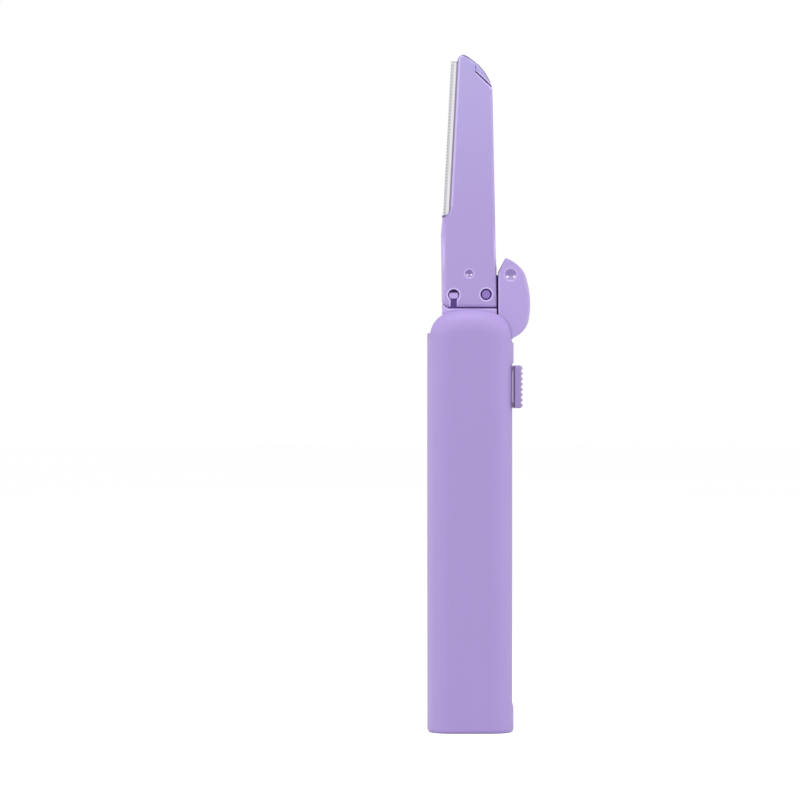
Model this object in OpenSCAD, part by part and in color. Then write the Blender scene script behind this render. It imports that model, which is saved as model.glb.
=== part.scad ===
// Sliding eyebrow razor, shown open: the blade cartridge stands out of its case and the lid is swung aside.
// The case rests on its flat end at Z = 0, its front faces -Y and the thumb slider is on the +X side.
// Lengths are in millimetres.

/* [Case] */
// Width of the case across its round sides
body_w = 21.6; // [21:0.1:24]
// Depth of the case from front to back
body_d = 12.4; // [11.8:0.1:13]
// Height of the case with its lid closed
body_h = 106.2; // [104:0.2:115]
// Radius of the shoulders beside the mouth, seen from the front
shoulder_r = 6.6; // [6.5:0.1:7.2]
// Radius of the crown over the mouth, seen from the front
crown_r = 22; // [19:0.5:28]
// Thickness of the case walls
wall = 1.3; // [1.1:0.1:1.5]
// Radius of the edge round the flat end
foot_r = 1; // [0.6:0.1:1.6]
// Width of the mouth slot from front to back
mouth_w = 5.6; // [5.5:0.1:6]
// Drop from the top of the case to the left end of the mouth slot
mouth_drop = 6.5; // [5.5:0.1:8]
// Width of the slider's slot in the right side
slot_w = 4.2; // [4:0.1:4.6]
// Height of the slot's lower end above the flat end
slot_low = 6.4; // [5.6:0.1:8]
// Drop from the top of the case to the slot's upper end
slot_drop = 14; // [13:0.1:16]

/* [Lid] */
// Thickness of the lid from front to back
lid_t = 5.2; // [4.8:0.1:5.3]
// Thickness of the lid's own walls
lid_wall = 1.2; // [1:0.1:1.3]
// Distance from the case's right side to the hinge line
hinge_in = 1.9; // [1.8:0.05:2.1]
// Drop from the top of the case to the hinge line
hinge_drop = 6.75; // [6.5:0.05:7]
// Turn of the lid from closed to the open position shown
lid_open = 85; // [80:1:88]
// Further turn of the lid that its spring allows
lid_over = 8; // [4:1:9]
// Radius of the lid's heel round the hinge line
heel_r = 1.97; // [1.8:0.01:2]
// Radius of the hinge pin
pin_r = 0.5; // [0.4:0.05:0.6]
// Wire radius of the lid spring
wire_r = 0.13; // [0.1:0.01:0.15]
// Turns of the lid spring
coil_turns = 3; // [2:1:3]

/* [Slider and carriage] */
// Length of the thumb pad
pad_h = 10.7; // [9:0.1:12]
// Distance that the thumb pad stands out from the case
pad_out = 2.05; // [1.6:0.05:2.6]
// Width of the thumb pad from front to back
pad_w = 7; // [6:0.1:8]
// Number of grip ribs on the thumb pad
pad_ribs = 8; // [6:1:9]
// Length of the slider's stem in the slot
stem_h = 11.2; // [10.8:0.1:12]
// Length of the key that joins the slider to the carriage
key_h = 9.4; // [8:0.1:10]
// Length of the carriage block inside the case
block_h = 13.4; // [12.8:0.1:15]
// Thickness of the carriage tongue inside the cartridge
tongue_t = 1.9; // [1.7:0.05:2]

/* [Cartridge] */
// Room between the side of the case and the side of the cartridge
cart_room = 3.85; // [3.8:0.05:4.1]
// Length of the cartridge
cart_h = 63; // [60:0.5:66]
// Thickness of the cartridge
cart_t = 4.4; // [4.2:0.1:4.6]
// Radius of the cartridge's rounded edges
edge_r = 0.85; // [0.6:0.05:1]
// Radius of the arc at the cartridge's tip
tip_r = 12; // [11.5:0.1:12.5]
// Thickness of the blade
blade_t = 0.25; // [0.2:0.01:0.35]
// Width of blade that stands out of the cartridge
blade_out = 1.55; // [1.4:0.05:1.7]
// Distance between the teeth of the blade guard
tooth_pitch = 0.8; // [0.7:0.05:1.2]
// Radius of the round peg hole through the cartridge's front
hole_r = 1.4; // [1.3:0.02:1.5]

/* [Hidden] */
$fn = 64;
hull_fn = 32;
soft_steps = 4;
grid_steps = 256;            // steps to the millimetre for the level on which the case's parts meet

// Clearances
run_gap = 0.05;      // between a pin and what turns on it
seat_gap = 0.05;     // between pieces that seat in each other
slide_gap = 0.25;    // between what slides and what guides it
stop_gap = 0.3;      // left at each end of the slider's travel
over = 1;            // how far a cutting shape runs past what it cuts

// Case outline: every surface lies at a set distance from one flat core outline
side_r = body_d / 2;
core_x = body_w / 2 - side_r;
shoulder_x = body_w / 2 - shoulder_r;
crown_sink = sqrt(pow(crown_r - shoulder_r, 2) - pow(shoulder_x, 2));
shoulder_z = round((body_h - crown_r + crown_sink) * grid_steps) / grid_steps;
crown_z = shoulder_z - crown_sink;
crown_half = asin(shoulder_x / (crown_r - shoulder_r));
inside_x = body_w / 2 - wall;
inside_y = side_r - wall;
mouth_left_z = body_h - mouth_drop;
slot_high = body_h - slot_drop;

// Rim where the shells meet
lip_h = 0.6;
lip_share = 0.33;            // part of the wall on each side of the lip
lip_end = 2;                 // the lip stops this far short of the mouth and the slot

// Posts that line the shells up below the carriage
post_r = 1;
post_in = 3.5;               // from the inside of the case's round sides
post_x = inside_x - post_in;
post_z = 3.5;
post_reach = 1.5;
boss_wall = 0.7;

// Rails that guide the cartridge and the carriage
rail_w = 1;
rail_in = 1.95;              // from the cartridge's sides to the middle of the rails
rail_root = 0.3;
rail_low = 7;
rail_top_drop = 9;

// Hinge line of the lid
hinge_x = body_w / 2 - hinge_in;
hinge_z = body_h - hinge_drop;
heel_tilt = 38;              // slope of the lid's heel, as a straight line, when it is open
heel_in = 0.66;              // middle of the heel's long curve, measured from the hinge line
heel_up = 5.26;
heel_curve = 6.63;
heel_from = -80;
heel_to = -10;
heel_steps = 14;
seat_r = heel_r + slide_gap;
pin_reach = 0.7;             // how far the pin runs into each shell
pin_half = mouth_w / 2 + pin_reach;
ear_t = 1.2;
coil_r = 0.95;
coil_gap = 0.45;             // between one turn of the spring and the next
coil_pitch = 2 * wire_r + coil_gap;
leg_up = 4.6;
leg_down = 4.2;
leg_half = coil_turns * coil_pitch / 2;
leg_post_w = 1.2;            // post in the back shell that holds the spring's lower leg
leg_post_h = 2;
catch_r = 1.5;
catch_depth = 0.35;
catch_reach = 14.8;          // from the hinge line to the catch, along the lid
catch_side = 1.1;            // from the hinge line to the catch, across the lid

// Slider and carriage
stem_mid = slot_high - stop_gap - stem_h / 2;
travel = slot_high - slot_low - stem_h - 2 * stop_gap;
stem_t = slot_w - 2 * slide_gap;
key_t = 2.6;
key_in = 3.2;
block_gap = 0.8;
block_half = inside_x - block_gap;
block_t = 2 * (mouth_w / 2 - 2 * slide_gap);
block_sill = 1;              // block below the slider's key
block_low = stem_mid - key_h / 2 - block_sill;
block_corner = 1.5;
pad_gap = 0.15;
pad_x = body_w / 2 + pad_gap;
pad_corner = 0.9;
rib_depth = 0.35;
rib_share = 0.45;
panel_h = 7;
panel_in = 4.95;             // from the sides of the block
panel_w = 2 * (block_half - panel_in);
panel_depth = 0.8;
leaf_t = 0.2;
leaf_w = 2.8;
leaf_h = 9.6;
leaf_seat = 0.9;
leaf_crest = core_x + sqrt(pow(inside_y, 2) - pow(leaf_w / 2, 2)) - seat_gap;
leaf_bow = leaf_crest - leaf_t - (block_half - leaf_seat) - seat_gap;

// Cartridge, measured from its lower left corner seen from the front
cart_w = body_w - 2 * cart_room;
cart_shift = -0.35;          // its middle lies this far from the middle of the case
cart_gap = 0.4;
neck_drop = 0.4;
cart_left = cart_shift - cart_w / 2;
cart_right = cart_shift + cart_w / 2;
rail_x = cart_w / 2 - rail_in;
neck_top = body_h - neck_drop;
cart_low = neck_top + cart_gap;
cart_top = cart_low + cart_h;
half_t = cart_t / 2;
corner_r = 1.6;
corner_gap = 0.15;           // between the cartridge's round corner and the neck beside it
small_r = 0.4;
top_r = 1.5;
belly_out = 0.3;
belly_share = 0.29;
arc_in = 0.85;
arc_rise = 0.75;
arc_from = 12;
arc_to = 66;
arc_steps = 8;
tip_x = cart_right - arc_in - tip_r;
tip_z = cart_top + arc_rise - tip_r;
lid_gap = 0.3;
face_x = cart_right + lid_gap;
face_rise = 15.5;
face_tilt = 65;

// Blade: its edge is a straight line that leans towards the cartridge's tip
edge_low_in = 0.45;
edge_lean = 3;
edge_low_share = 0.355;
edge_high_share = 0.977;
throat_w = 1.9;
throat_h = 2.6;
blade_share = 0.36;          // width of the blade, of the cartridge's width
blade_deep = cart_w * blade_share;
bevel_w = 0.6;
bevel_h = 0.5;
stake_r = 0.7;
stake_reach = 0.8;
stake_share = 0.64;          // how far in the stakes stand, of the blade's width
stake_in = blade_deep * stake_share;
stake_low_share = 0.42;
stake_high_share = 0.9;
step_share = 0.388;          // from the cartridge's right side to the step, of its width
step_in = cart_w * step_share;
step_drop = 4.15;            // from the cartridge's top to the step's corner
step_slope = 0.95;
step_gap = 0.15;
step_in_y = 0.2;

// Guard along the edge
guard_t = 0.2;
guard_w = 0.8;
guard_lead = 0.1;
guard_spine = 0.3;
guard_gap = 0.02;
guard_start = 0.45;          // from the lower end of the blade to the guard
tooth_share = 0.45;
tooth_slant = 25;

// Pegs that hold the cartridge on the tongue
pocket_t = tongue_t + 4 * seat_gap;
pocket_top = 12;
pocket_side = 0.95;
tongue_in = 0.4;             // from the cartridge's right side to the tongue
peg_rise = 3.15;
peg_in = 3.1;
lock_in = 2.7;
peg_r = hole_r - 2 * seat_gap;
peg_flat = 1.5;
peg_sunk = 0.5;              // the pegs end this far behind the cartridge's face
peg_y = half_t - peg_sunk;
key_slot_w = 1.55;
lock_peg_r = 1.15;
lock_peg_y = half_t - peg_sunk;
finger_w = 2.5;
finger_front = 0.55;
finger_t = 0.7;
finger_root_rise = 10.1;
finger_tail = 1.2;
root_r = 0.42;
tongue_top = pocket_top - 2 * slide_gap;
dimple_r = 1.1;
dimple_depth = 0.35;
dimple_rise = 8.3;
dimple_x = cart_shift;

// Colours
lavender = [0.71, 0.62, 0.86];
lavender_light = [0.75, 0.68, 0.88];
lavender_deep = [0.62, 0.52, 0.78];
steel = [0.82, 0.83, 0.85];
spring_steel = [0.6, 0.61, 0.63];

// Turns a shape from the XY plane to the XZ plane and gives it a depth along Y, centred on Y = 0.
module upright(depth) {
    rotate([90, 0, 0]) linear_extrude(depth, center = true) children();
}

// Gives an XZ shape a depth from Y = 0 to the front (side = -1) or to the back (side = 1).
module to_side(depth, side) {
    translate([0, side * depth / 2, 0]) upright(depth) children();
}

// Turns the lid from closed to open about the hinge line.
module open_turn(turn = lid_open) {
    translate([hinge_x, 0, hinge_z]) rotate([0, turn, 0]) translate([-hinge_x, 0, -hinge_z]) children();
}

// Half of the case's section at right angles to its outline, with the outline's centre at the origin.
module outline_section(reach, r) {
    intersection() {
        union() {
            translate([0, -r]) square([reach, 2 * r]);
            translate([reach, 0]) circle(r);
        }
        translate([0, -r]) square([reach + r, 2 * r]);
    }
}

// Half of the case's section along Z, from its axis out to the round side, hanging down by drop.
module side_section(r, drop, foot) {
    translate([0, -drop]) difference() {
        square([r, drop]);
        if (foot > 0) translate([r - foot, 0]) difference() {
            square(foot);
            translate([0, foot]) circle(foot);
        }
    }
}

// The case's outer form, drawn in by inset so that inner and outer surfaces run parallel.
// Its parts meet on the shoulders' level, and the shoulders turn on to the vertical, inside the crown.
module case_form(inset = 0) {
    r = side_r - inset;
    foot = max(foot_r - inset, 0);
    drop = shoulder_z - inset;
    translate([0, 0, shoulder_z]) {
        rotate([90, 0, 90]) linear_extrude(2 * core_x, center = true) {
            side_section(r, drop, foot);
            mirror([1, 0]) side_section(r, drop, foot);
        }
        for (side = [0, 1]) mirror([side, 0, 0]) {
            translate([core_x, 0, 0]) rotate([0, 0, -90]) rotate_extrude(angle = 180)
                side_section(r, drop, foot);
            translate([shoulder_x, 0, 0]) rotate([90, 0, 0]) rotate_extrude(angle = 90)
                outline_section(shoulder_r - side_r, r);
        }
    }
    translate([0, 0, crown_z]) rotate([90, 0, 0]) rotate([0, 0, 90 - crown_half])
        rotate_extrude(angle = 2 * crown_half) outline_section(crown_r - side_r, r);
}

// Front view of the case's outline, drawn in by inset.
module case_outline(inset = 0) {
    translate([inset - body_w / 2, inset]) square([body_w - 2 * inset, shoulder_z - inset]);
    for (side = [-1, 1]) translate([side * shoulder_x, shoulder_z]) circle(shoulder_r - inset);
    translate([0, crown_z]) intersection() {
        circle(crown_r - inset);
        polygon([[0, 0], for (side = [-1, 1]) 2 * crown_r * [side * sin(crown_half), cos(crown_half)]]);
    }
}

// Everything in front of the parting plane (side = -1) or behind it (side = 1).
module half_space(side) {
    translate([0, side * body_d / 2, body_h / 2])
        cube([body_w + 2 * over, body_d, body_h + 2 * over], center = true);
}

// Room for the lid, its heel and the cartridge between the tops of the shells.
module mouth() {
    upright(mouth_w) {
        translate([-body_w / 2 - over, mouth_left_z])
            square([body_w / 2 + over + hinge_x, mouth_drop + over]);
        translate([hinge_x, hinge_z]) {
            circle(seat_r);
            rotate(heel_tilt - lid_over) translate([0, -seat_r]) square([body_w, body_w]);
        }
    }
}

// Slot in the right side for the slider's stem.
module side_slot() {
    translate([inside_x - over, -slot_w / 2, slot_low])
        cube([wall + 2 * over, slot_w, slot_high - slot_low]);
}

// Ring inside the wall that joins the two shells' rims, down the left side and across the end.
module rim_lip(gap) {
    intersection() {
        difference() {
            case_form(wall * lip_share - gap);
            case_form(wall * (1 - lip_share) + gap);
        }
        translate([0, lip_h / 2, 0]) union() {
            translate([-body_w / 2, 0, (mouth_left_z - lip_end) / 2])
                cube([body_w, lip_h + 2 * gap, mouth_left_z - lip_end + 2 * gap], center = true);
            translate([0, 0, (slot_low - lip_end) / 2])
                cube([body_w, lip_h + 2 * gap, slot_low - lip_end + 2 * gap], center = true);
        }
    }
}

// One half of the case with its mouth, slot, hinge holes and guide rails.
module shell(side) {
    difference() {
        union() {
            difference() {
                intersection() {
                    case_form();
                    half_space(side);
                }
                case_form(wall);
            }
            intersection() {
                case_form(wall - rail_root);
                for (x = [-rail_x, rail_x]) translate([x, 0, 0]) guide_rail(side);
            }
        }
        mouth();
        side_slot();
        translate([hinge_x, 0, hinge_z]) rotate([90, 0, 0])
            cylinder(r = pin_r + seat_gap, h = 2 * pin_half + 2 * seat_gap, center = true);
    }
}

// One rail, standing in from the shell's inner face to just clear of what slides on it.
module guide_rail(side) {
    rail_y = mouth_w / 2 - slide_gap;
    translate([-rail_w / 2, side < 0 ? -side_r : rail_y, rail_low])
        cube([rail_w, side_r - rail_y, body_h - rail_top_drop - rail_low]);
}

// Where the lid's catch lies, in the closed position.
module at_catch() {
    open_turn(-lid_open) translate([hinge_x + catch_side, 0, hinge_z + catch_reach]) children();
}

module front_shell() {
    color(lavender) {
        shell(-1);
        intersection() {
            rim_lip(0);
            translate([0, lip_h / 2, body_h / 2]) cube([body_w, lip_h, body_h], center = true);
        }
        for (side = [-1, 1]) translate([side * post_x, post_reach, post_z]) rotate([90, 0, 0])
            cylinder(r = post_r, h = inside_y + post_reach + wall / 2);
        intersection() {
            case_form(wall / 2);
            at_catch() translate([0, -lid_t / 2 - run_gap, 0]) rotate([90, 0, 0])
                cylinder(r = catch_r / 2, h = side_r);
        }
    }
}

// Lower end of the spring's leg.
module at_leg() {
    translate([hinge_x - coil_r, -leg_half, hinge_z - leg_down]) children();
}

module back_shell() {
    color(lavender) difference() {
        union() {
            shell(1);
            for (side = [-1, 1]) translate([side * post_x, inside_y + wall / 2, post_z]) rotate([90, 0, 0])
                cylinder(r = post_r + boss_wall, h = inside_y + wall / 2);
            at_leg() translate([-leg_post_w / 2, -leg_post_w / 2, 0])
                cube([leg_post_w, leg_half + inside_y + wall / 2, leg_post_h]);
        }
        at_leg() translate([0, 0, -over]) cylinder(r = wire_r + seat_gap, h = leg_post_h + 2 * over);
        rim_lip(seat_gap);
        for (side = [-1, 1]) translate([side * post_x, post_reach + seat_gap, post_z]) rotate([90, 0, 0])
            cylinder(r = post_r + seat_gap, h = post_reach + over);
    }
}

module hinge_pin() {
    color(steel) translate([hinge_x, 0, hinge_z]) rotate([90, 0, 0])
        cylinder(r = pin_r, h = 2 * pin_half, center = true);
}

// Points of the spring wire: a straight leg down to the case, the turns, and a leg up into the lid.
coil_rings = 12;
coil_sides = 6;
coil_path = concat(
    [for (k = [0:2]) [-coil_r, -leg_half, -leg_down * (1 - k / 2)]],
    [for (k = [1:coil_turns * coil_rings - coil_rings / 2])
        let (a = 180 - 360 * k / coil_rings)
        [coil_r * cos(a), -leg_half + coil_pitch * k / coil_rings, coil_r * sin(a)]],
    [for (k = [1:2]) [coil_r, -leg_half + coil_pitch * (coil_turns - 0.5), leg_up * k / 2]]);

// Least gap between one part of the wire and another that is at least half a turn along it.
spring_gap = min([for (i = [0:len(coil_path) - 1], j = [i + coil_rings / 2:1:len(coil_path) - 1])
    norm(coil_path[i] - coil_path[j])]) - 2 * wire_r;
echo(spring_gap = spring_gap);

function unit(v) = v / norm(v);

// A tube of coil_sides sides along the path, as one closed surface.
module wire(path) {
    count = len(path);
    rings = [for (i = [0:count - 1])
        let (dir = unit(path[min(i + 1, count - 1)] - path[max(i - 1, 0)]),
            side = unit(cross(dir, [0, 1, 0])),
            up = cross(side, dir))
        for (k = [0:coil_sides - 1])
            path[i] + wire_r * (cos(360 * k / coil_sides) * side + sin(360 * k / coil_sides) * up)];
    skin = [for (i = [0:count - 2], k = [0:coil_sides - 1])
        let (a = i * coil_sides + k, b = i * coil_sides + (k + 1) % coil_sides)
        each [[a, b, b + coil_sides], [a, b + coil_sides, a + coil_sides]]];
    ends = [[for (k = [coil_sides - 1:-1:0]) k],
        [for (k = [0:coil_sides - 1]) (count - 1) * coil_sides + k]];
    polyhedron(rings, concat(skin, ends));
}

module lid_spring() {
    color(spring_steel) translate([hinge_x, 0, hinge_z]) wire(coil_path);
}

// The open lid's outline in front view: straight face, slanted tip and a heel curved to the hinge.
module lid_outline() {
    far = crown_r;
    tip = [face_x, hinge_z + face_rise];
    heel = [for (k = [0:heel_steps])
        let (a = heel_from + (heel_to - heel_from) * k / heel_steps)
        [hinge_x - heel_in + heel_curve * cos(a), hinge_z + heel_up + heel_curve * sin(a)]];
    intersection() {
        union() {
            polygon(concat([[face_x, hinge_z]], heel,
                [[hinge_x + far, hinge_z + heel_up], tip + far * [cos(face_tilt), sin(face_tilt)], tip]));
            translate([hinge_x, hinge_z]) circle(heel_r);
        }
        translate([face_x, 0]) square([far, body_h + far]);
    }
}

module lid() {
    hollow_w = lid_t - 2 * ear_t;
    color(lavender_light) difference() {
        intersection() {
            open_turn() case_form();
            upright(lid_t) lid_outline();
        }
        intersection() {
            open_turn() upright(hollow_w) case_outline(lid_wall);
            translate([face_x - over, -hollow_w / 2, hinge_z])
                cube([crown_r, hollow_w, face_rise - lid_wall]);
        }
        translate([hinge_x, 0, hinge_z]) rotate([90, 0, 0]) {
            cylinder(r = coil_r + wire_r + slide_gap, h = hollow_w, center = true);
            cylinder(r = pin_r + run_gap, h = lid_t + over, center = true);
        }
        translate([face_x - over, -hollow_w / 2, hinge_z - heel_r - over])
            cube([hinge_x - face_x + over, hollow_w, heel_r + 2 * over]);
        translate([hinge_x + catch_side, -lid_t / 2, hinge_z + catch_reach])
            shallow_dish(catch_r, catch_depth);
    }
}

// A ball set so that it cuts a round dish of radius r and the given depth into a face looking along -Y.
module shallow_dish(r, depth) {
    ball_r = (r * r + depth * depth) / (2 * depth);
    translate([0, depth - ball_r, 0]) sphere(ball_r);
}

// The carriage's block with its slanted lower corners, seen from the front.
module block_outline() {
    top = block_low + block_h;
    polygon([
        [block_corner - block_half, block_low], [block_half - block_corner, block_low],
        [block_half, block_low + block_corner], [block_half, top],
        [-block_half, top], [-block_half, block_low + block_corner]]);
}

// The neck above the block. Its left end rises beside the cartridge's round lower corner.
module neck_outline() {
    left = cart_left + seat_gap;
    block_top = block_low + block_h;
    translate([left, block_top - over]) square([cart_w - 2 * seat_gap, neck_top - block_top + over]);
    difference() {
        translate([left, neck_top - over]) square([corner_r, over + cart_gap + corner_r]);
        translate([cart_left + corner_r, cart_low + corner_r]) circle(corner_r + corner_gap);
        translate([cart_left + corner_r, neck_top]) square(corner_r);
    }
}

module carriage() {
    tongue_left = cart_left + pocket_side + 2 * seat_gap;
    tongue_right = cart_right - tongue_in;
    lock_x = cart_right - lock_in;
    color(lavender_deep) difference() {
        union() {
            upright(block_t) block_outline();
            upright(cart_t) neck_outline();
            upright(tongue_t) {
                translate([tongue_left, neck_top - over])
                    square([tongue_right - tongue_left, cart_gap + tongue_top + over - corner_r]);
                translate([tongue_left + corner_r, cart_low])
                    square([tongue_right - tongue_left - 2 * corner_r, tongue_top]);
                for (x = [tongue_left + corner_r, tongue_right - corner_r])
                    translate([x, cart_low + tongue_top - corner_r]) circle(corner_r);
            }
            pivot_peg();
        }
        translate([block_half - key_in, -key_t / 2 - seat_gap, stem_mid - key_h / 2 - seat_gap])
            cube([key_in + over, key_t + 2 * seat_gap, key_h + 2 * seat_gap]);
        for (side = [-1, 1]) translate([0, side * block_t / 2, block_low + block_h / 2])
            cube([panel_w, 2 * panel_depth, panel_h], center = true);
        leaf_recess();
        lock_window(lock_x);
    }
}

// Flat-sided peg that the cartridge hangs and swings on.
module pivot_peg() {
    translate([cart_left + peg_in, 0, cart_low + peg_rise]) intersection() {
        to_side(peg_y, -1) circle(peg_r);
        cube([4 * peg_r, 2 * peg_y, peg_flat], center = true);
    }
}

// Opening in the tongue for the sprung finger, with a round seat at its root.
module lock_window(x) {
    root_z = cart_low + finger_root_rise;
    low = cart_low + peg_rise - finger_tail - 2 * slide_gap;
    translate([x - finger_w / 2 - slide_gap, -tongue_t, low])
        cube([finger_w + 2 * slide_gap, 2 * tongue_t, root_z - low]);
    translate([x, finger_t / 2 - finger_front, root_z]) rotate([0, 90, 0])
        cylinder(r = root_r + run_gap, h = finger_w + 2 * slide_gap, center = true);
}

// The finger turns a little about its root when its round peg is pressed in.
module lock_finger() {
    x = cart_right - lock_in;
    root_z = cart_low + finger_root_rise;
    low = cart_low + peg_rise - finger_tail;
    color(lavender_deep) {
        translate([x - finger_w / 2, -finger_front, low]) cube([finger_w, finger_t, root_z - low]);
        translate([x, finger_t / 2 - finger_front, root_z]) rotate([0, 90, 0])
            cylinder(r = root_r, h = finger_w, center = true);
        translate([x, -finger_front + finger_t / 2, cart_low + peg_rise]) rotate([90, 0, 0])
            cylinder(r = lock_peg_r, h = lock_peg_y - finger_front + finger_t / 2);
    }
}

// Circle that the bowed leaf follows, from its length and its bow.
function bow_r(length, bow) = (length * length / 4 + bow * bow) / (2 * bow);

leaf_r = bow_r(leaf_h, leaf_bow);

// Section of the bowed leaf: its middle presses on the case's left side, its ends sit in the block.
module leaf_arc() {
    translate([leaf_r - leaf_crest, stem_mid]) intersection() {
        difference() {
            circle(leaf_r);
            circle(leaf_r - leaf_t);
        }
        translate([-leaf_r, 0]) square([leaf_r, leaf_h], center = true);
    }
}

// Recess for the leaf in the left side of the block.
module leaf_recess() {
    translate([-block_half - over, -leaf_w / 2 - seat_gap, stem_mid - leaf_h / 2 - seat_gap])
        cube([over + leaf_seat, leaf_w + 2 * seat_gap, leaf_h + 2 * seat_gap]);
}

module detent_leaf() {
    color(steel) upright(leaf_w) leaf_arc();
}

// Side view of the thumb pad: round corners and a row of grip ribs on its outer face.
module pad_outline() {
    pitch = (pad_h - 2 * small_r) / (pad_ribs + 0.5);
    difference() {
        translate([pad_x + pad_out / 2, stem_mid]) rounded_box(pad_out, pad_h, pad_corner);
        for (k = [0:pad_ribs - 1])
            translate([pad_x + pad_out, stem_mid + (k - (pad_ribs - 1) / 2) * pitch])
                square([2 * rib_depth, pitch * rib_share], center = true);
    }
    translate([pad_x, stem_mid - pad_h / 2]) square([pad_corner, pad_h]);
}

module rounded_box(w, h, r) {
    square([w - 2 * r, h], center = true);
    square([w, h - 2 * r], center = true);
    for (x = [-1, 1], y = [-1, 1]) translate([x * (w / 2 - r), y * (h / 2 - r)]) circle(r);
}

module thumb_slider() {
    color(lavender) {
        upright(pad_w) pad_outline();
        translate([block_half, -stem_t / 2, stem_mid - stem_h / 2])
            cube([pad_x - block_half + small_r, stem_t, stem_h]);
        translate([block_half - key_in + seat_gap, -key_t / 2, stem_mid - key_h / 2])
            cube([key_in + small_r, key_t, key_h]);
    }
}

// Blade edge, as a line from its lower to its upper end.
edge_low = [cart_left + edge_low_in, cart_low + cart_h * edge_low_share];
edge_high = edge_low + (edge_high_share - edge_low_share) * cart_h * [sin(edge_lean), cos(edge_lean)];
edge_len = norm(edge_high - edge_low);

// Puts a shape on the blade edge: X across the blade, Y along the edge.
module on_edge() {
    translate(edge_low) rotate(-edge_lean) children();
}

// Front view of the whole cartridge before the blade side is cut back.
module cartridge_outline() {
    hull() {
        translate([cart_left + corner_r, cart_low + corner_r]) circle(corner_r, $fn = hull_fn);
        translate([cart_right - small_r, cart_low + small_r]) circle(small_r, $fn = hull_fn);
        translate([cart_left - belly_out + top_r, cart_low + cart_h * belly_share])
            circle(top_r, $fn = hull_fn);
        polygon([for (k = [0:arc_steps])
            let (a = arc_from + (arc_to - arc_from) * k / arc_steps)
            [tip_x + tip_r * cos(a), tip_z + tip_r * sin(a)]]);
        translate([edge_high[0] + blade_out + top_r, cart_top - top_r]) circle(top_r, $fn = hull_fn);
    }
}

// The whole cartridge as a plate whose edges are rounded over by edge_r.
module soft_plate() {
    hull() for (k = [0:soft_steps]) {
        a = 90 * k / soft_steps;
        upright(cart_t - 2 * edge_r * (1 - sin(a)))
            offset(delta = -edge_r * (1 - cos(a))) cartridge_outline();
    }
}

// What is cut away so that the blade stands out: straight along the blade, round at the throat.
module blade_side() {
    on_edge() {
        translate([-cart_w, throat_h]) square([cart_w + blade_out, cart_h]);
        intersection() {
            translate([-cart_w, 0]) square([cart_w + blade_out, throat_h + over]);
            translate([blade_out - throat_w, throat_h]) scale([throat_w, throat_h]) circle(1);
        }
    }
}

module blade_outline(gap) {
    on_edge() translate([-gap, -gap]) square([blade_deep + 2 * gap, edge_len + 2 * gap]);
}

// Places on the blade where the cartridge's stakes pass through it.
module at_stakes() {
    for (share = [stake_low_share, stake_high_share]) on_edge()
        translate([stake_in, (share - edge_low_share) * cart_h]) children();
}

// Room inside the cartridge for the tongue, open below and on the right.
module pocket() {
    left = cart_left + pocket_side;
    upright(pocket_t) {
        translate([left, cart_low - over]) square([cart_w, over + pocket_top - corner_r]);
        translate([left + corner_r, cart_low]) square([cart_w, pocket_top]);
        translate([left + corner_r, cart_low + pocket_top - corner_r]) circle(corner_r);
    }
}

// Step in the tip of the front half that shows the lug of the back half.
module tip_step(gap) {
    corner = [cart_right - step_in + gap, cart_top - step_drop + gap];
    polygon([
        corner, corner + [0, cart_w], corner + [cart_w, cart_w], corner + [cart_w, -cart_w * step_slope]]);
}

// The cartridge with all that both of its halves lack.
module cartridge_body() {
    difference() {
        soft_plate();
        upright(cart_t + over) blade_side();
        upright(blade_t + 2 * guard_gap) blade_outline(guard_gap);
        pocket();
        for (side = [-1, 1]) bevel(side);
    }
}

// Slanted cut along the outer corner of the blade side.
module bevel(side) {
    corner = side * bevel_h;
    translate([edge_low[0], side * half_t, edge_low[1]]) rotate([0, edge_lean, 0])
        translate([blade_out, 0, throat_h]) linear_extrude(cart_h)
            polygon([[2 * bevel_w, corner], [-bevel_w, -2 * corner], [-bevel_w, corner]]);
}

// A block that holds the front (side = -1) or the back (side = 1) half of the cartridge.
module half_plate(side) {
    translate([cart_shift, side * cart_t / 2, cart_low + cart_h / 2])
        cube([cart_w + 2 * over, cart_t, cart_h + 2 * over], center = true);
}

module cartridge_front() {
    color(lavender_light) difference() {
        cartridge_body();
        half_plate(1);
        to_side(cart_t, -1) {
            translate([cart_left + peg_in, cart_low + peg_rise]) circle(hole_r);
            translate([cart_left + peg_in - key_slot_w / 2, cart_low - over])
                square([key_slot_w, peg_rise + over]);
            translate([cart_right - lock_in, cart_low + peg_rise]) circle(hole_r);
        }
        to_side(stake_reach + seat_gap, -1) at_stakes() circle(stake_r + seat_gap);
        translate([dimple_x, -half_t, cart_low + dimple_rise]) shallow_dish(dimple_r, dimple_depth);
        upright(cart_t + over) tip_step(0);
    }
}

module cartridge_back() {
    color(lavender_light) {
        difference() {
            cartridge_body();
            difference() {
                half_plate(-1);
                to_side(half_t - step_in_y, -1) tip_step(step_gap);
            }
        }
        translate([0, (blade_t - stake_reach) / 2, 0]) upright(blade_t + stake_reach)
            at_stakes() circle(stake_r);
    }
}

module blade() {
    color(steel) difference() {
        upright(blade_t) blade_outline(0);
        upright(blade_t + over) at_stakes() circle(stake_r + seat_gap);
    }
}

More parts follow.
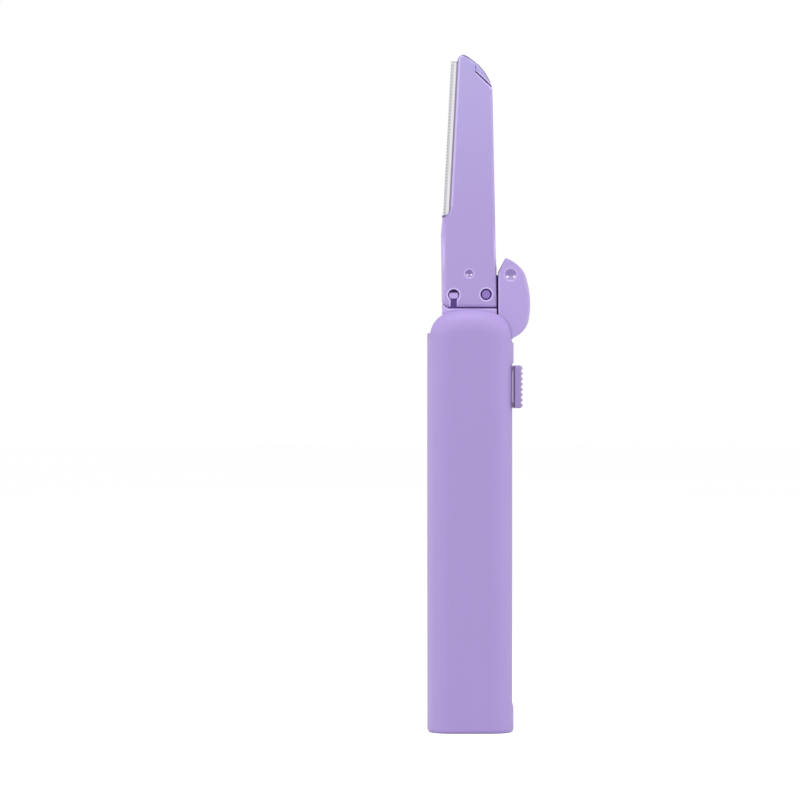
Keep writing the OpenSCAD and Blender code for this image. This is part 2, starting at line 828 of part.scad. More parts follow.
// Comb folded over the blade edge: two thin side strips joined by slanted teeth across the edge.
module blade_guard() {
    depth = blade_t + 2 * guard_gap + 2 * guard_t;
    count = floor((edge_len - guard_start) / tooth_pitch) - 1;
    first = (edge_len + guard_start - (count - 1) * tooth_pitch) / 2;
    color(steel) difference() {
        upright(depth) on_edge() translate([-guard_lead - guard_gap, guard_start])
            square([guard_w, edge_len - guard_start]);
        upright(blade_t + 2 * guard_gap) on_edge() translate([-guard_gap, -over])
            square([guard_w + over, edge_len + 2 * over]);
        upright(depth + over) on_edge() for (k = [0:count - 1])
            translate([-guard_lead - guard_gap, first + k * tooth_pitch]) rotate(-tooth_slant)
                square([2 * (guard_w - guard_spine), tooth_pitch * tooth_share], center = true);
    }
}

front_shell();
back_shell();
hinge_pin();
lid_spring();
lid();
carriage();
lock_finger();
detent_leaf();
thumb_slider();
cartridge_front();
cartridge_back();
blade();
blade_guard();
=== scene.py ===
import bmesh
import bpy
import numpy as np
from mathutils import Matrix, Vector, geometry


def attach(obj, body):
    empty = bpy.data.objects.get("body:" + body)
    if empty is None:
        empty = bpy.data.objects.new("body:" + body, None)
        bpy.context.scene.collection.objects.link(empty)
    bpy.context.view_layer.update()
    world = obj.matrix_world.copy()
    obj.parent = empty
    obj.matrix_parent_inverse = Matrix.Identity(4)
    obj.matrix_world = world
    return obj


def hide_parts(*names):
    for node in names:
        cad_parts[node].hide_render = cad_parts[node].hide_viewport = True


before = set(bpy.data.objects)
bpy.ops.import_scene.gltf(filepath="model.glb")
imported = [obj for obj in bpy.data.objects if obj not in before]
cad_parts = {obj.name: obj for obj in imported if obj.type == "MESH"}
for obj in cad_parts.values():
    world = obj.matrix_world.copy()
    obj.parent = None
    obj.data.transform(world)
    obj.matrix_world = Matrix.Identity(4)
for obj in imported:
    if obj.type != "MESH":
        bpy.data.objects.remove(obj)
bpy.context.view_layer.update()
scene = bpy.context.scene
mm = 0.001
fit = 0.05    # room round a pin in its hole
weld = 5e-7    # points closer than this, in metres, are one


def direction(degrees):
    # unit vectors in the XZ plane, counted from +X towards +Z
    a = np.radians(degrees)
    return np.stack([np.cos(a), np.sin(a)], -1)


def quarter(count):
    # evenly spaced angles of a quarter turn, in radians
    return np.radians(np.linspace(0, 90, count))


def bearing(vector):
    # the angle of an XZ vector from +X, in degrees
    return np.degrees(np.arctan2(vector[1], vector[0]))


def arc(centre, radius, fromDeg, toDeg, count):
    # circle points: centre + radius times the unit vector at evenly spaced angles
    return np.asarray(centre) + radius * direction(np.linspace(fromDeg, toDeg, count))


def meeting(normalA, offsetA, normalB, offsetB):
    # the point whose distance along each unit normal equals that line's offset
    return np.linalg.solve(np.array([normalA, normalB]), np.array([offsetA, offsetB]))


def tangentAngle(centreA, radiusA, centreB, radiusB, side):
    # outward normal, in degrees, of the line that touches both circles on the given side
    gap = np.subtract(centreB, centreA)
    lean = np.arccos((radiusA - radiusB) / np.linalg.norm(gap))
    return bearing(gap) + side * np.degrees(lean)


def outlineRing(corners, radii, counts, insets):
    # a closed outline, counter-clockwise in (x, z): each side moves in by its own inset, and each corner turns on
    # an arc whose centre lies that arc's radius in from both sides; a hollow corner's radius grows with the inset;
    # one radius, count or inset stands for all
    p = np.asarray(corners, float)
    radii, counts = np.broadcast_to(radii, len(p)), np.broadcast_to(counts, len(p))
    side = np.roll(p, -1, 0) - p
    side /= np.linalg.norm(side, axis=1, keepdims=True)
    after = np.stack([side[:, 1], -side[:, 0]], 1)
    before = np.roll(after, 1, 0)
    dAfter = np.broadcast_to(insets, len(p))
    dBefore = np.roll(dAfter, 1)
    cosTurn = (before * after).sum(1)
    turn = np.arctan2(before[:, 0] * after[:, 1] - before[:, 1] * after[:, 0], cosTurn)
    sign = np.where(turn < 0, -1.0, 1.0)
    mean, diff = (dBefore + dAfter) / 2, (dBefore - dAfter) / 2
    rho = np.where(radii > 0, np.maximum(radii - sign * mean, 0), 0)
    reach = (mean + sign * rho) / (1 + cosTurn)
    slip = np.where(1 - cosTurn > 1e-4, diff / np.maximum(1 - cosTurn, 1e-4), 0)
    centre = p - reach[:, None] * (before + after) - slip[:, None] * (before - after)
    which = np.repeat(np.arange(len(p)), counts)
    step = np.arange(len(which)) - np.repeat(np.cumsum(counts) - counts, counts)
    share = np.where(counts[which] > 1, step / np.maximum(counts[which] - 1, 1), 0.5)
    angle = np.arctan2(before[:, 1], before[:, 0])[which] + turn[which] * share
    return centre[which] + (sign * rho)[which, None] * np.stack([np.cos(angle), np.sin(angle)], 1)


def gridSheet(points, closed=False):
    # quads over a grid of points, closed across its columns if asked
    rows, cols = points.shape[:2]
    r = np.arange(rows - 1)[:, None]
    c = np.arange(cols if closed else cols - 1)[None, :]
    a, b = r * cols + c, r * cols + (c + 1) % cols
    return points.reshape(-1, 3), np.stack([a, b, b + cols, a + cols], -1).reshape(-1, 4)


def atDepth(ring, y):
    # XZ points at one depth along Y, or at a depth of their own each
    return np.stack([ring[..., 0], np.broadcast_to(y, ring[..., 0].shape), ring[..., 1]], -1)


def flatSheet(rings, level, axis=1):
    # triangles of a flat face: the first ring is its border and the rest are holes; level is its place on the axis
    starts = np.cumsum([0] + [len(r) for r in rings[:-1]])
    edges = np.concatenate([np.stack([np.arange(len(r)), np.roll(np.arange(len(r)), -1)], 1) + s
                            for r, s in zip(rings, starts)])
    flat = list(map(Vector, np.concatenate(rings).tolist()))
    made = geometry.delaunay_2d_cdt(flat, edges.tolist(), [], 2, 1e-5)
    return np.insert(np.array([tuple(v) for v in made[0]]), axis, level, 1), np.array(made[2])


def plateSheets(corners, radii, counts, kinds, depths, insets):
    # a plate: the outline at each depth, drawn in by the inset of each side's kind, with a flat face at either end
    rings = np.stack([outlineRing(corners, radii, counts, insets[k][kinds]) for k in range(len(depths))])
    wall = atDepth(rings, np.asarray(depths)[:, None])
    return [gridSheet(wall, True), flatSheet([rings[0]], depths[0]), flatSheet([rings[-1]], depths[-1])]


def squarePlate(corners, depths, radii=0, counts=1):
    # a plate between two depths, in either order, with upright sides
    return plateSheets(corners, radii, counts, 0, sorted(depths), np.zeros((2, 1)))


def rolledRims(low, high, edge, count, between=0):
    # depths from one face to the other, and the inset at each: a quarter circle at either rim, 0 between them
    b = quarter(count)
    depth, roll = edge * (1 - np.cos(b)), edge * (1 - np.sin(b))
    straight = np.linspace(low + edge, high - edge, between + 2)[1:-1]
    return (np.concatenate([low + depth, straight, high - depth[::-1]]),
            np.concatenate([roll, np.zeros(between), roll[::-1]]))


def softPlate(corners, radii, counts, low, high, edge, oneFace=False):
    # a plate whose rims are rounded by a quarter circle, on the lower face only if asked
    ys, insets = rolledRims(low, high, edge, 5)
    if oneFace:
        ys, insets = np.append(ys[:5], high), np.append(insets[:5], 0.0)
    return plateSheets(corners, radii, counts, 0, ys, insets[:, None])


def rectangle(left, low, right, high):
    # its corners, counter-clockwise from the lower left
    return np.array([[left, low], [right, low], [right, high], [left, high]])


def turnedSheets(profile, centre, count=48, axis="y"):
    # a closed solid of revolution: profile rows are (radius, place on the axis), and both ends lie on the axis;
    # about Y the centre is (x, z), and about X it is (y, z)
    a = np.linspace(0, 2 * np.pi, count, endpoint=False)
    r, place = np.asarray(profile, float).T
    across = centre[0] + r[:, None] * np.cos(a)
    up = centre[1] + r[:, None] * np.sin(a)
    along = np.repeat(place[:, None], count, 1)
    return [gridSheet(np.stack([across, along, up] if axis == "y" else [along, across, up], -1), True)]


def pinSheets(radius, start, end, centre, ease=0.0, axis="y"):
    # a round pin from start to end, with both rims eased by a small bevel
    rows = [(0, start), (radius - ease, start), (radius, start + ease), (radius, end - ease),
            (radius - ease, end), (0, end)]
    return turnedSheets(rows if ease else rows[:1] + rows[2:4] + rows[5:], centre, axis=axis)


def tubeSheets(path, side, radius, count=10):
    # a round wire: circles across the path, whose first axis is the given side and second the side times the tangent
    tangent = np.gradient(path, axis=0)
    tangent /= np.linalg.norm(tangent, axis=1, keepdims=True)
    side = side - (side * tangent).sum(1, keepdims=True) * tangent
    side /= np.linalg.norm(side, axis=1, keepdims=True)
    up = np.cross(tangent, side)
    a = np.linspace(0, 2 * np.pi, count, endpoint=False)[:, None]
    ring = path[:, None] + radius * (np.cos(a) * side[:, None] + np.sin(a) * up[:, None])
    ends = [(ring[k], np.arange(count)[None]) for k in (0, -1)]
    return [gridSheet(ring, True)] + ends


def blockSheets(low, high):
    # a plain block, used only to cut
    return squarePlate(rectangle(low[0], low[2], high[0], high[2]), (low[1], high[1]))


def makeObject(name, sheets):
    # one mesh from sheets of points in millimetres; points that meet are merged, so that seams and poles close
    starts = np.cumsum([0] + [len(p) for p, f in sheets[:-1]])
    mesh = bpy.data.meshes.new(name)
    mesh.from_pydata((np.concatenate([p for p, f in sheets]) * mm).tolist(), [],
                     [f for (p, faces), s in zip(sheets, starts) for f in (faces + s).tolist()])
    bm = bmesh.new()
    bm.from_mesh(mesh)
    bmesh.ops.remove_doubles(bm, verts=bm.verts, dist=weld)
    bmesh.ops.dissolve_degenerate(bm, edges=bm.edges, dist=weld)
    bmesh.ops.recalc_face_normals(bm, faces=bm.faces)
    bm.to_mesh(mesh)
    bm.free()
    obj = bpy.data.objects.new(name, mesh)
    scene.collection.objects.link(obj)
    return obj


def cutAway(obj, cutters, operation="DIFFERENCE"):
    # takes each cutter out of the object, or joins it on, and leaves a plain mesh
    for sheets in cutters:
        tool = makeObject(obj.name + "Cutter", sheets)
        mod = obj.modifiers.new("cut", "BOOLEAN")
        mod.operation, mod.solver, mod.object = operation, "EXACT", tool
        bpy.context.view_layer.update()
        cut = bpy.data.meshes.new_from_object(obj.evaluated_get(bpy.context.evaluated_depsgraph_get()))
        obj.modifiers.clear()
        obj.data = cut
        bpy.data.objects.remove(tool)
    return obj


def joinOn(obj, extras):
    # joins each extra solid on
    return cutAway(obj, extras, "UNION")


def evenNormals(mesh, sharp):
    # each corner's normal is the mean of the normals of the faces round its point that turn from its own face by
    # less than the sharp angle, each weighted by the area of the whole plane that it is part of
    corners = np.empty(len(mesh.loops), np.int32)
    mesh.loops.foreach_get("vertex_index", corners)
    sides = np.empty(len(mesh.polygons), np.int32)
    mesh.polygons.foreach_get("loop_total", sides)
    normal, centre = np.empty((len(sides), 3), np.float32), np.empty((len(sides), 3), np.float32)
    mesh.polygons.foreach_get("normal", normal.ravel())
    mesh.polygons.foreach_get("center", centre.ravel())
    area = np.empty(len(sides), np.float32)
    mesh.polygons.foreach_get("area", area)
    turnSteps, offsetStep = 400, 3e-6    # how alike normals and offsets are within one plane
    key = np.round(np.column_stack([normal * turnSteps, (normal * centre).sum(1) / offsetStep]))
    plane = np.unique(key, axis=0, return_inverse=True)[1].ravel()
    weight = np.bincount(plane, area)[plane]
    order = np.argsort(corners, kind="stable")
    size = np.bincount(corners)[corners[order]]
    start = np.searchsorted(corners[order], corners[order])
    first = np.repeat(np.arange(len(order)), size)
    second = start[first] + np.arange(len(first)) - np.repeat(np.cumsum(size) - size, size)
    face = np.repeat(np.arange(len(sides)), sides)[order]
    near = (normal[face[first]] * normal[face[second]]).sum(1) > np.cos(np.radians(sharp))
    own, other = first[near], face[second[near]]
    total = np.stack([np.bincount(own, normal[other, k] * weight[other], len(order)) for k in range(3)], 1)
    length = np.linalg.norm(total, axis=1, keepdims=True)
    total = np.where(length > 0, total / np.maximum(length, 1e-30), normal[face])
    even = np.empty_like(total)
    even[order] = total
    mesh.normals_split_custom_set(even.tolist())


def finishPiece(obj, body, material, node, sharp=33.0):
    # smooth but for its real corners, with flat faces kept flat
    obj.data.shade_smooth()
    evenNormals(obj.data, sharp)
    obj.data.materials.clear()
    obj.data.materials.append(material)
    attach(obj, body)
    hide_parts(node)


def nodeGroup(name, inputs, outputs):
    # a shader group; each socket's kind follows from how many numbers it holds
    kinds = {1: "NodeSocketFloat", 3: "NodeSocketVector", 4: "NodeSocketColor"}
    group = bpy.data.node_groups.new(name, "ShaderNodeTree")
    for label, value in inputs.items():
        socket = group.interface.new_socket(label, in_out="INPUT", socket_type=kinds[np.size(value)])
        socket.default_value = value
    for label, size in outputs.items():
        group.interface.new_socket(label, in_out="OUTPUT", socket_type=kinds[size])
    return group, group.nodes.new("NodeGroupInput").outputs, group.nodes.new("NodeGroupOutput").inputs


def add(tree, kind, links=None, **settings):
    # a shader node with its settings; each named socket takes a link or a plain value
    node = tree.nodes.new("ShaderNode" + kind)
    for key, value in settings.items():
        setattr(node, key, value)
    for socket, value in (links or {}).items():
        if isinstance(value, bpy.types.NodeSocket):
            tree.links.new(value, node.inputs[socket])
        else:
            node.inputs[socket].default_value = value
    return node


def reckon(tree, operation, a, b=0.0):
    # one step of arithmetic
    return add(tree, "Math", {0: a, 1: b}, operation=operation).outputs[0]


def vectorStep(tree, operation, a, b=(0, 0, 0), result=0):
    # one step of vector arithmetic
    return add(tree, "VectorMath", {0: a, 1: b}, operation=operation).outputs[result]


def noise(tree, place, scale, detail, roughness=0.5):
    # smooth noise between 0 and 1
    return add(tree, "TexNoise", {"Vector": place, "Scale": scale, "Detail": detail, "Roughness": roughness}).outputs[0]


def spread(tree, value, low, high):
    # noise between 0.3 and 0.7 spread from low to high
    return add(tree, "MapRange", {0: value, 1: 0.3, 2: 0.7, 3: low, 4: high}).outputs[0]


surfaceOutputs = {"Colour": 4, "Roughness": 1, "Normal": 3}
# noise cells in a metre, and heights in metres
grain = dict(tone=55.0, flow=420.0, wear=160.0, skin=5200.0, lines=9000.0, skinHeight=0.00006, lineHeight=0.00002)


def closeGroup(group, given, result, gain, change, strength, distance, height):
    # the colour times the gain, the roughness plus the change, and a bump from the height
    bump = add(group, "Bump", {"Strength": strength, "Distance": distance, "Height": height})
    group.links.new(vectorStep(group, "MULTIPLY", given["Colour"], gain), result["Colour"])
    group.links.new(reckon(group, "ADD", given["Roughness"], change), result["Roughness"])
    group.links.new(bump.outputs[0], result["Normal"])
    return group


def makeMoulded():
    # moulded plastic: slow drifts of tone, fine flow marks along the part, and a faint satin skin
    group, given, result = nodeGroup("mouldedPlastic", {
        "Colour": (0.5, 0.5, 0.5, 1), "Drift": 0.03, "Roughness": 0.35, "Skin": 0.02}, surfaceOutputs)
    place = add(group, "TexCoord").outputs["Object"]
    stretched = add(group, "Mapping", {"Vector": place, "Scale": (1.0, 1.0, 0.12)}).outputs[0]
    tone = reckon(group, "ADD", noise(group, place, grain["tone"], 3.0, 0.55),
                  noise(group, stretched, grain["flow"], 2.0))
    drift = reckon(group, "MULTIPLY", reckon(group, "SUBTRACT", tone, 1.0), given["Drift"])
    worn = spread(group, noise(group, place, grain["wear"], 4.0), -0.05, 0.05)
    return closeGroup(group, given, result, reckon(group, "ADD", drift, 1.0), worn, given["Skin"],
                      grain["skinHeight"], noise(group, place, grain["skin"], 2.0, 0.6))


def makeBrushed():
    # ground steel: fine lines across one axis, as a height, a tone and a roughness
    group, given, result = nodeGroup("groundSteel", {
        "Colour": (0.8, 0.8, 0.8, 1), "Stretch": (1, 1, 0.02), "Roughness": 0.25, "Depth": 0.1}, surfaceOutputs)
    place = add(group, "TexCoord").outputs["Object"]
    lines = noise(group, vectorStep(group, "MULTIPLY", place, given["Stretch"]), grain["lines"], 3.0)
    return closeGroup(group, given, result, spread(group, lines, 0.94, 1.04), spread(group, lines, -0.06, 0.08),
                      given["Depth"], grain["lineHeight"], lines)


def makeMark(name, isRound):
    # where a mark lies: 1 within half of the middle distance, fading to 0 over soft, counted from a centre line
    # along Y for a round mark, or along a direction for a straight one
    group, given, result = nodeGroup(name, {"Place": (0, 0, 0), "Middle": 0.0, "Half": 0.001, "Soft": 0.0001},
                                     {"Mask": 1})
    at = add(group, "TexCoord").outputs["Object"]
    if isRound:
        gap = vectorStep(group, "SUBTRACT", at, given["Place"])
        far = vectorStep(group, "LENGTH", vectorStep(group, "MULTIPLY", gap, (1, 0, 1)), result="Value")
    else:
        far = vectorStep(group, "DOT_PRODUCT", at, given["Place"], "Value")
    size = reckon(group, "ABSOLUTE", reckon(group, "SUBTRACT", far, given["Middle"]))
    low, high = [reckon(group, step, given["Half"], given["Soft"]) for step in ("SUBTRACT", "ADD")]
    mask = add(group, "MapRange", {0: size, 1: low, 2: high, 3: 1.0, 4: 0.0}, interpolation_type="SMOOTHSTEP")
    group.links.new(mask.outputs[0], result["Mask"])
    return group


moulded, brushed = makeMoulded(), makeBrushed()
roundMark, lineMark = makeMark("roundMark", True), makeMark("lineMark", False)


def ring(centre, middle, half, soft=0.08):
    # a round mark in millimetres, at an (x, z) centre
    return roundMark, (centre[0] * mm, 0, centre[1] * mm), middle * mm, half * mm, soft * mm


def band(towards, low, high, soft=0.08):
    # a straight mark between two distances in millimetres along an axis, or along a unit vector in the XZ plane
    axes = {"x": (1, 0, 0), "y": (0, 1, 0), "z": (0, 0, 1)}
    aim = axes[towards] if isinstance(towards, str) else (towards[0], 0, towards[1])
    return lineMark, tuple(map(float, aim)), (low + high) / 2 * mm, (high - low) / 2 * mm, soft * mm


# a painted shade that greys the plastic where its surface turns away from the view
edgeShade = dict(grey=(0.34, 0.31, 0.4, 1), start=0.5, share=0.6)
coatIndex = 2.3


def surfaceMaterial(name, group, values, shader, marks=(), polish=None):
    # the effect group feeds the shader; each mark (colour, amount, roughness or None, places) lays its colour and
    # roughness where all its places' masks meet; polish (roughness, places) is a clear coat; towards its turned-away
    # edges a painted shade makes the plastic greyer
    material = bpy.data.materials.new(name)
    material.use_nodes = True
    tree = material.node_tree
    effect = add(tree, "Group", node_tree=group)
    for key, value in values.items():
        effect.inputs[key].default_value = value
    colour, rough = effect.outputs["Colour"], effect.outputs["Roughness"]

    def meet(places, mask=1.0):
        # the product of the places' masks
        for kind, *where in places:
            spot = add(tree, "Group", dict(zip(("Place", "Middle", "Half", "Soft"), where)), node_tree=kind)
            mask = reckon(tree, "MULTIPLY", spot.outputs["Mask"], mask)
        return mask

    for tint, amount, gloss, *places in marks:
        mask = meet(places, amount)
        colour = add(tree, "Mix", {0: mask, 6: colour, 7: (*tint, 1)}, data_type="RGBA").outputs[2]
        if gloss is not None:
            rough = add(tree, "Mix", {0: mask, 2: rough, 3: gloss}, data_type="FLOAT").outputs[0]
    if group is moulded:
        # painted shade: greyer where the surface turns away from the view
        facing = add(tree, "LayerWeight", {"Blend": 0.5}).outputs["Facing"]
        rim = add(tree, "MapRange", {0: facing, 1: edgeShade["start"], 2: 1.0, 3: 0.0, 4: edgeShade["share"]}).outputs[0]
        colour = add(tree, "Mix", {0: rim, 6: colour, 7: edgeShade["grey"]}, data_type="RGBA").outputs[2]
    body = tree.nodes["Principled BSDF"]
    for key, socket in (("Base Color", colour), ("Roughness", rough), ("Normal", effect.outputs["Normal"])):
        tree.links.new(socket, body.inputs[key])
    if polish:
        tree.links.new(meet(polish[1:]), body.inputs["Coat Weight"])
        body.inputs["Coat Roughness"].default_value = polish[0]
        body.inputs["Coat IOR"].default_value = coatIndex
    for key, value in shader.items():
        body.inputs[key].default_value = value
    material.diffuse_color = values["Colour"]
    return material


def plastic(name, colour, roughness, marks, polish=None, skin=0.12, drift=0.02, gloss=0.4):
    # moulded plastic, by the depth of its skin, the drift of its tone and its gloss
    values = {"Colour": (*colour, 1), "Drift": drift, "Roughness": roughness, "Skin": skin}
    return surfaceMaterial(name, moulded, values, {"Specular IOR Level": gloss}, marks, polish)


def steel(name, colour, stretch, roughness, marks=()):
    # ground steel, whose lines run where the stretch is small
    values = {"Colour": (*colour, 1), "Stretch": stretch, "Roughness": roughness, "Depth": 0.1}
    return surfaceMaterial(name, brushed, values, {"Metallic": 1.0}, marks)


# painted light by the pad, where the pad's shade falls on the case, and a painted highlight along the left edge
casePlastic = plastic("caseLavender", (0.38, 0.284, 0.604), 0.5, [
    ((0.7, 0.6, 0.95), 0.4, None, band("x", 9.9, 10.7, 0.5), band("z", 82.0, 90.5, 1.8),
     band("y", -7, -1.8, 0.4)),
    ((0.6, 0.5, 0.84), 0.15, None, band("x", -11.2, -9.6, 0.8), band("z", 1.5, 98.0, 2))])

case = dict(width=21.6, depth=12.4, height=106.2, shoulder=6.6, crown=22.0, wall=1.3, foot=1.0,
            mouthWidth=5.6, mouthLeft=99.7, mouthRight=97.2, mouthRound=1.7, slotWidth=4.2, slotLow=6.4, slotHigh=92.2,
            edge=0.14, innerEdge=0.2, cornerRound=0.45, slotRound=1.9, railX=5.0, railWidth=1.0, railFrom=2.55,
            railLow=7.0, railHigh=97.2, railSink=0.3, postX=6.0, postZ=3.5, postR=1.0, postReach=1.5, bossR=1.7,
            rowsBelow=6.1, rowsAlong=(8.6, 91.0), rowsAbove=(92.6, 96.9), turnPastMouth=12.0)
# the crown's arc and a shoulder's meet on the line through their centres
crownZ = case["height"] - case["crown"]
crownGap = case["crown"] - case["shoulder"]
shoulderX = case["width"] / 2 - case["shoulder"]
shoulderZ = crownZ + np.sqrt(crownGap ** 2 - shoulderX ** 2)
crownHalf = np.degrees(np.arcsin(shoulderX / crownGap))
hinge = (8.9, 99.45)
pin = dict(radius=0.5, half=3.5, ease=0.1)


def turned(point, degrees):
    # a point turned clockwise about the hinge, as the lid turns when it opens
    a = np.radians(degrees)
    x, z = point[0] - hinge[0], point[1] - hinge[1]
    return np.array([hinge[0] + x * np.cos(a) + z * np.sin(a), hinge[1] - x * np.sin(a) + z * np.cos(a)])


def shellSheets(side):
    # half of the case. The front view has a core line with a unit normal; outside and inside lie on half circles
    # of radius r and r - wall about it, run from the flat face (90 degrees) to the rim at depth rim(s); the rim is
    # y = 0 where the halves meet, half the mouth's or the slot's width where those open
    r = case["depth"] / 2
    inner = r - case["wall"]
    half = case["width"] / 2
    low, long, high, around, over, wide = 4, 40, 5, 16, 13, 25    # how many rows or columns of points each part has
    open1, open2, c = case["mouthWidth"] / 2, case["slotWidth"] / 2, case["cornerRound"]
    b = quarter(6)

    def opening(at, reach, rise, c):
        # places and rim depths where an opening of half width reach starts (rise = 1) or ends (rise = -1)
        z = np.concatenate([[at], at + rise * c * (1 - np.cos(b))])
        y = np.concatenate([[0.0], reach - c + c * np.sin(b)])
        return (z, y) if rise > 0 else (z[::-1], y[::-1])

    slotA, slotB = opening(case["slotLow"], open2, 1, case["slotRound"]), opening(case["slotHigh"], open2, -1, c)
    mouthR = opening(case["mouthRight"], open1, 1, case["mouthRound"])
    zs = np.concatenate([np.linspace(case["wall"], case["rowsBelow"], low), slotA[0],
                         np.linspace(*case["rowsAlong"], long), slotB[0], np.linspace(*case["rowsAbove"], high),
                         mouthR[0]])
    rimRight = np.concatenate([np.zeros(low), slotA[1], np.full(long, open2), slotB[1], np.zeros(high), mouthR[1]])
    # left side, then left shoulder and crown up to the middle
    startTurn = np.degrees(np.arcsin((case["mouthLeft"] - shoulderZ) / case["shoulder"]))
    spanZ, spanY = opening(0.0, open1, 1, c)
    arcTurn = np.concatenate([[0, startTurn / 2], startTurn + np.degrees(spanZ / case["shoulder"]),
                              np.linspace(case["turnPastMouth"], 90 - crownHalf, around)])
    rimArc = np.concatenate([[0, 0], spanY, np.full(around, open1)])
    crownTurn = np.linspace(90 - crownHalf, 90, over + 1)[1:]
    normal = direction(180 - np.concatenate([np.zeros(len(zs)), arcTurn, crownTurn]))
    middle = len(normal)
    core = np.concatenate([
        np.stack([np.full(len(zs), -(half - r)), zs], 1),
        np.array([-shoulderX, shoulderZ]) + (case["shoulder"] - r) * direction(180 - arcTurn),
        np.array([0, crownZ]) + (case["crown"] - r) * direction(180 - crownTurn)])
    rimLeft = np.concatenate([np.zeros(len(zs)), rimArc, np.full(over, open1)])
    rimRightAll = np.concatenate([rimRight, np.full(len(arcTurn) + over, open1)])
    flip = np.array([-1, 1])
    core = np.concatenate([core, (core * flip)[-2::-1]])
    normal = np.concatenate([normal, (normal * flip)[-2::-1]])
    rim = np.concatenate([rimLeft, rimRightAll[-2::-1]])[:, None]

    e, e2 = case["edge"], case["innerEdge"]
    t = np.linspace(0, 1, around)
    outEnd = np.degrees(np.arcsin((rim + e) / r))
    outTurn = direction(90 + (outEnd - 90) * t)
    outer = r * outTurn
    inEnd = np.degrees(np.arcsin((rim + e2) / inner))
    inside = inner * direction(inEnd + (90 - inEnd) * t[::2])

    def bend(a, b, d, count):
        # quadratic curve from a to d that is drawn towards b
        u = np.linspace(0, 1, count + 2)[1:-1, None]
        return (1 - u) ** 2 * a[:, None] + 2 * u * (1 - u) * b[:, None] + u ** 2 * d[:, None]

    y = rim[:, 0]
    outCorner = np.stack([np.sqrt(r * r - y * y), y], 1)
    inCorner = np.stack([np.sqrt(inner * inner - y * y), y], 1)
    lipOut, lipIn = outCorner - [e, 0], inCorner + [e2, 0]
    profile = np.concatenate([outer, bend(outer[:, -1], outCorner, lipOut, 4), lipOut[:, None], lipIn[:, None],
                              bend(lipIn, inCorner, inside[:, 0], 3), inside], 1)
    place = core[:, None] + normal[:, None] * profile[..., :1]
    band = atDepth(place, side * profile[..., 1])

    def face(depth):
        # a flat face from the left core line to the right one
        across = -core[:middle, :1] * np.linspace(-1, 1, wide)
        return atDepth(np.stack([across, np.repeat(core[:middle, 1:], wide, 1)], -1), side * depth)

    front, back = face(r), face(inner)
    nOut = around + 4 + 1    # outside, its rounded edge and the lip's outer end
    # the edge round the flat end: the section's points move in along its normals as they go down
    section = np.concatenate([band[0, :nOut][::-1], front[0], band[-1, :nOut]])
    lean = np.concatenate([outTurn[0], np.tile([1.0, 0.0], (5, 1))])
    out = np.concatenate([(lean * [-1, side])[::-1], np.tile([0.0, side], (wide, 1)), lean * [1, side]])
    drop = np.concatenate([[case["wall"]], case["foot"] * (1 - np.sin(quarter(9)))])[:, None]
    shrink = np.concatenate([[0], case["foot"] * (1 - np.cos(quarter(9)))])[:, None]
    foot = np.stack([section[:, 0] - shrink * out[:, 0], section[:, 1] - shrink * out[:, 1],
                     np.repeat(drop, len(section), 1)], -1)
    floor = np.concatenate([band[0, nOut:, :2], back[0, :, :2], band[-1, nOut:, :2][::-1]])
    seam = np.concatenate([foot[:, 0], foot[::-1, -1], band[-1, nOut:nOut + 1], band[0, nOut:nOut + 1]])[:, [0, 2]]
    return [gridSheet(band), gridSheet(front), gridSheet(back), gridSheet(foot),
            flatSheet([foot[-1, :, :2]], 0.0, 2), flatSheet([floor], case["wall"], 2), flatSheet([seam], 0.0)]


spring = dict(coil=0.95, wire=0.13, pitch=0.71, turns=3, steps=24, legDown=4.2, legUp=4.6, postWide=1.2, postHigh=2.0)
catch = dict(radius=0.75, side=1.1, reach=14.8, high=2.65, open=85.0)


def shellPiece(name, side):
    # the shell's surfaces, with its rails, its posts or bosses, and the hinge pin's seat
    obj = makeObject(name, shellSheets(side))
    inner = case["depth"] / 2 - case["wall"]
    root = inner + case["wall"] / 2
    extras = []
    for x in (-case["railX"], case["railX"]):
        extras.append(blockSheets((x - case["railWidth"] / 2, side * case["railFrom"], case["railLow"]),
                                  (x + case["railWidth"] / 2, side * (inner + case["railSink"]), case["railHigh"])))
    posts = [(x, case["postZ"]) for x in (-case["postX"], case["postX"])]
    pip = turned((hinge[0] + catch["side"], hinge[1] + catch["reach"]), -catch["open"])
    legX, legY, legZ = hinge[0] - spring["coil"], -spring["turns"] * spring["pitch"] / 2, hinge[1] - spring["legDown"]
    if side < 0:
        extras += [pinSheets(case["postR"], -root, case["postReach"], at, 0.15) for at in posts]
        extras.append(pinSheets(catch["radius"], -root + 0.4, -catch["high"], pip, 0.1))
    else:
        extras += [pinSheets(case["bossR"], 0.0, root, at) for at in posts]
        w = spring["postWide"] / 2
        extras.append(blockSheets((legX - w, legY - w, legZ), (legX + w, inner + 0.2, legZ + spring["postHigh"])))
    joinOn(obj, extras)
    seat = pin["half"] + fit
    cuts = [pinSheets(pin["radius"] + fit, -seat, seat, hinge)]
    if side > 0:
        cuts += [pinSheets(case["postR"] + fit, -1.0, case["postReach"] + fit, at) for at in posts]
        hole = np.array([[legX, legY, legZ - 1], [legX, legY, legZ], [legX, legY, legZ + spring["postHigh"] + 1]])
        cuts.append(tubeSheets(hole, np.tile([1.0, 0, 0], (3, 1)), spring["wire"] + fit, 24))
    return cutAway(obj, cuts)


finishPiece(shellPiece("frontShell", -1), "case", casePlastic, "front_shell")
finishPiece(shellPiece("backShell", 1), "case", casePlastic, "back_shell")
print("case made")

springSteel = steel("springSteel", (0.5, 0.5, 0.53), (0.3, 1, 1), 0.3)


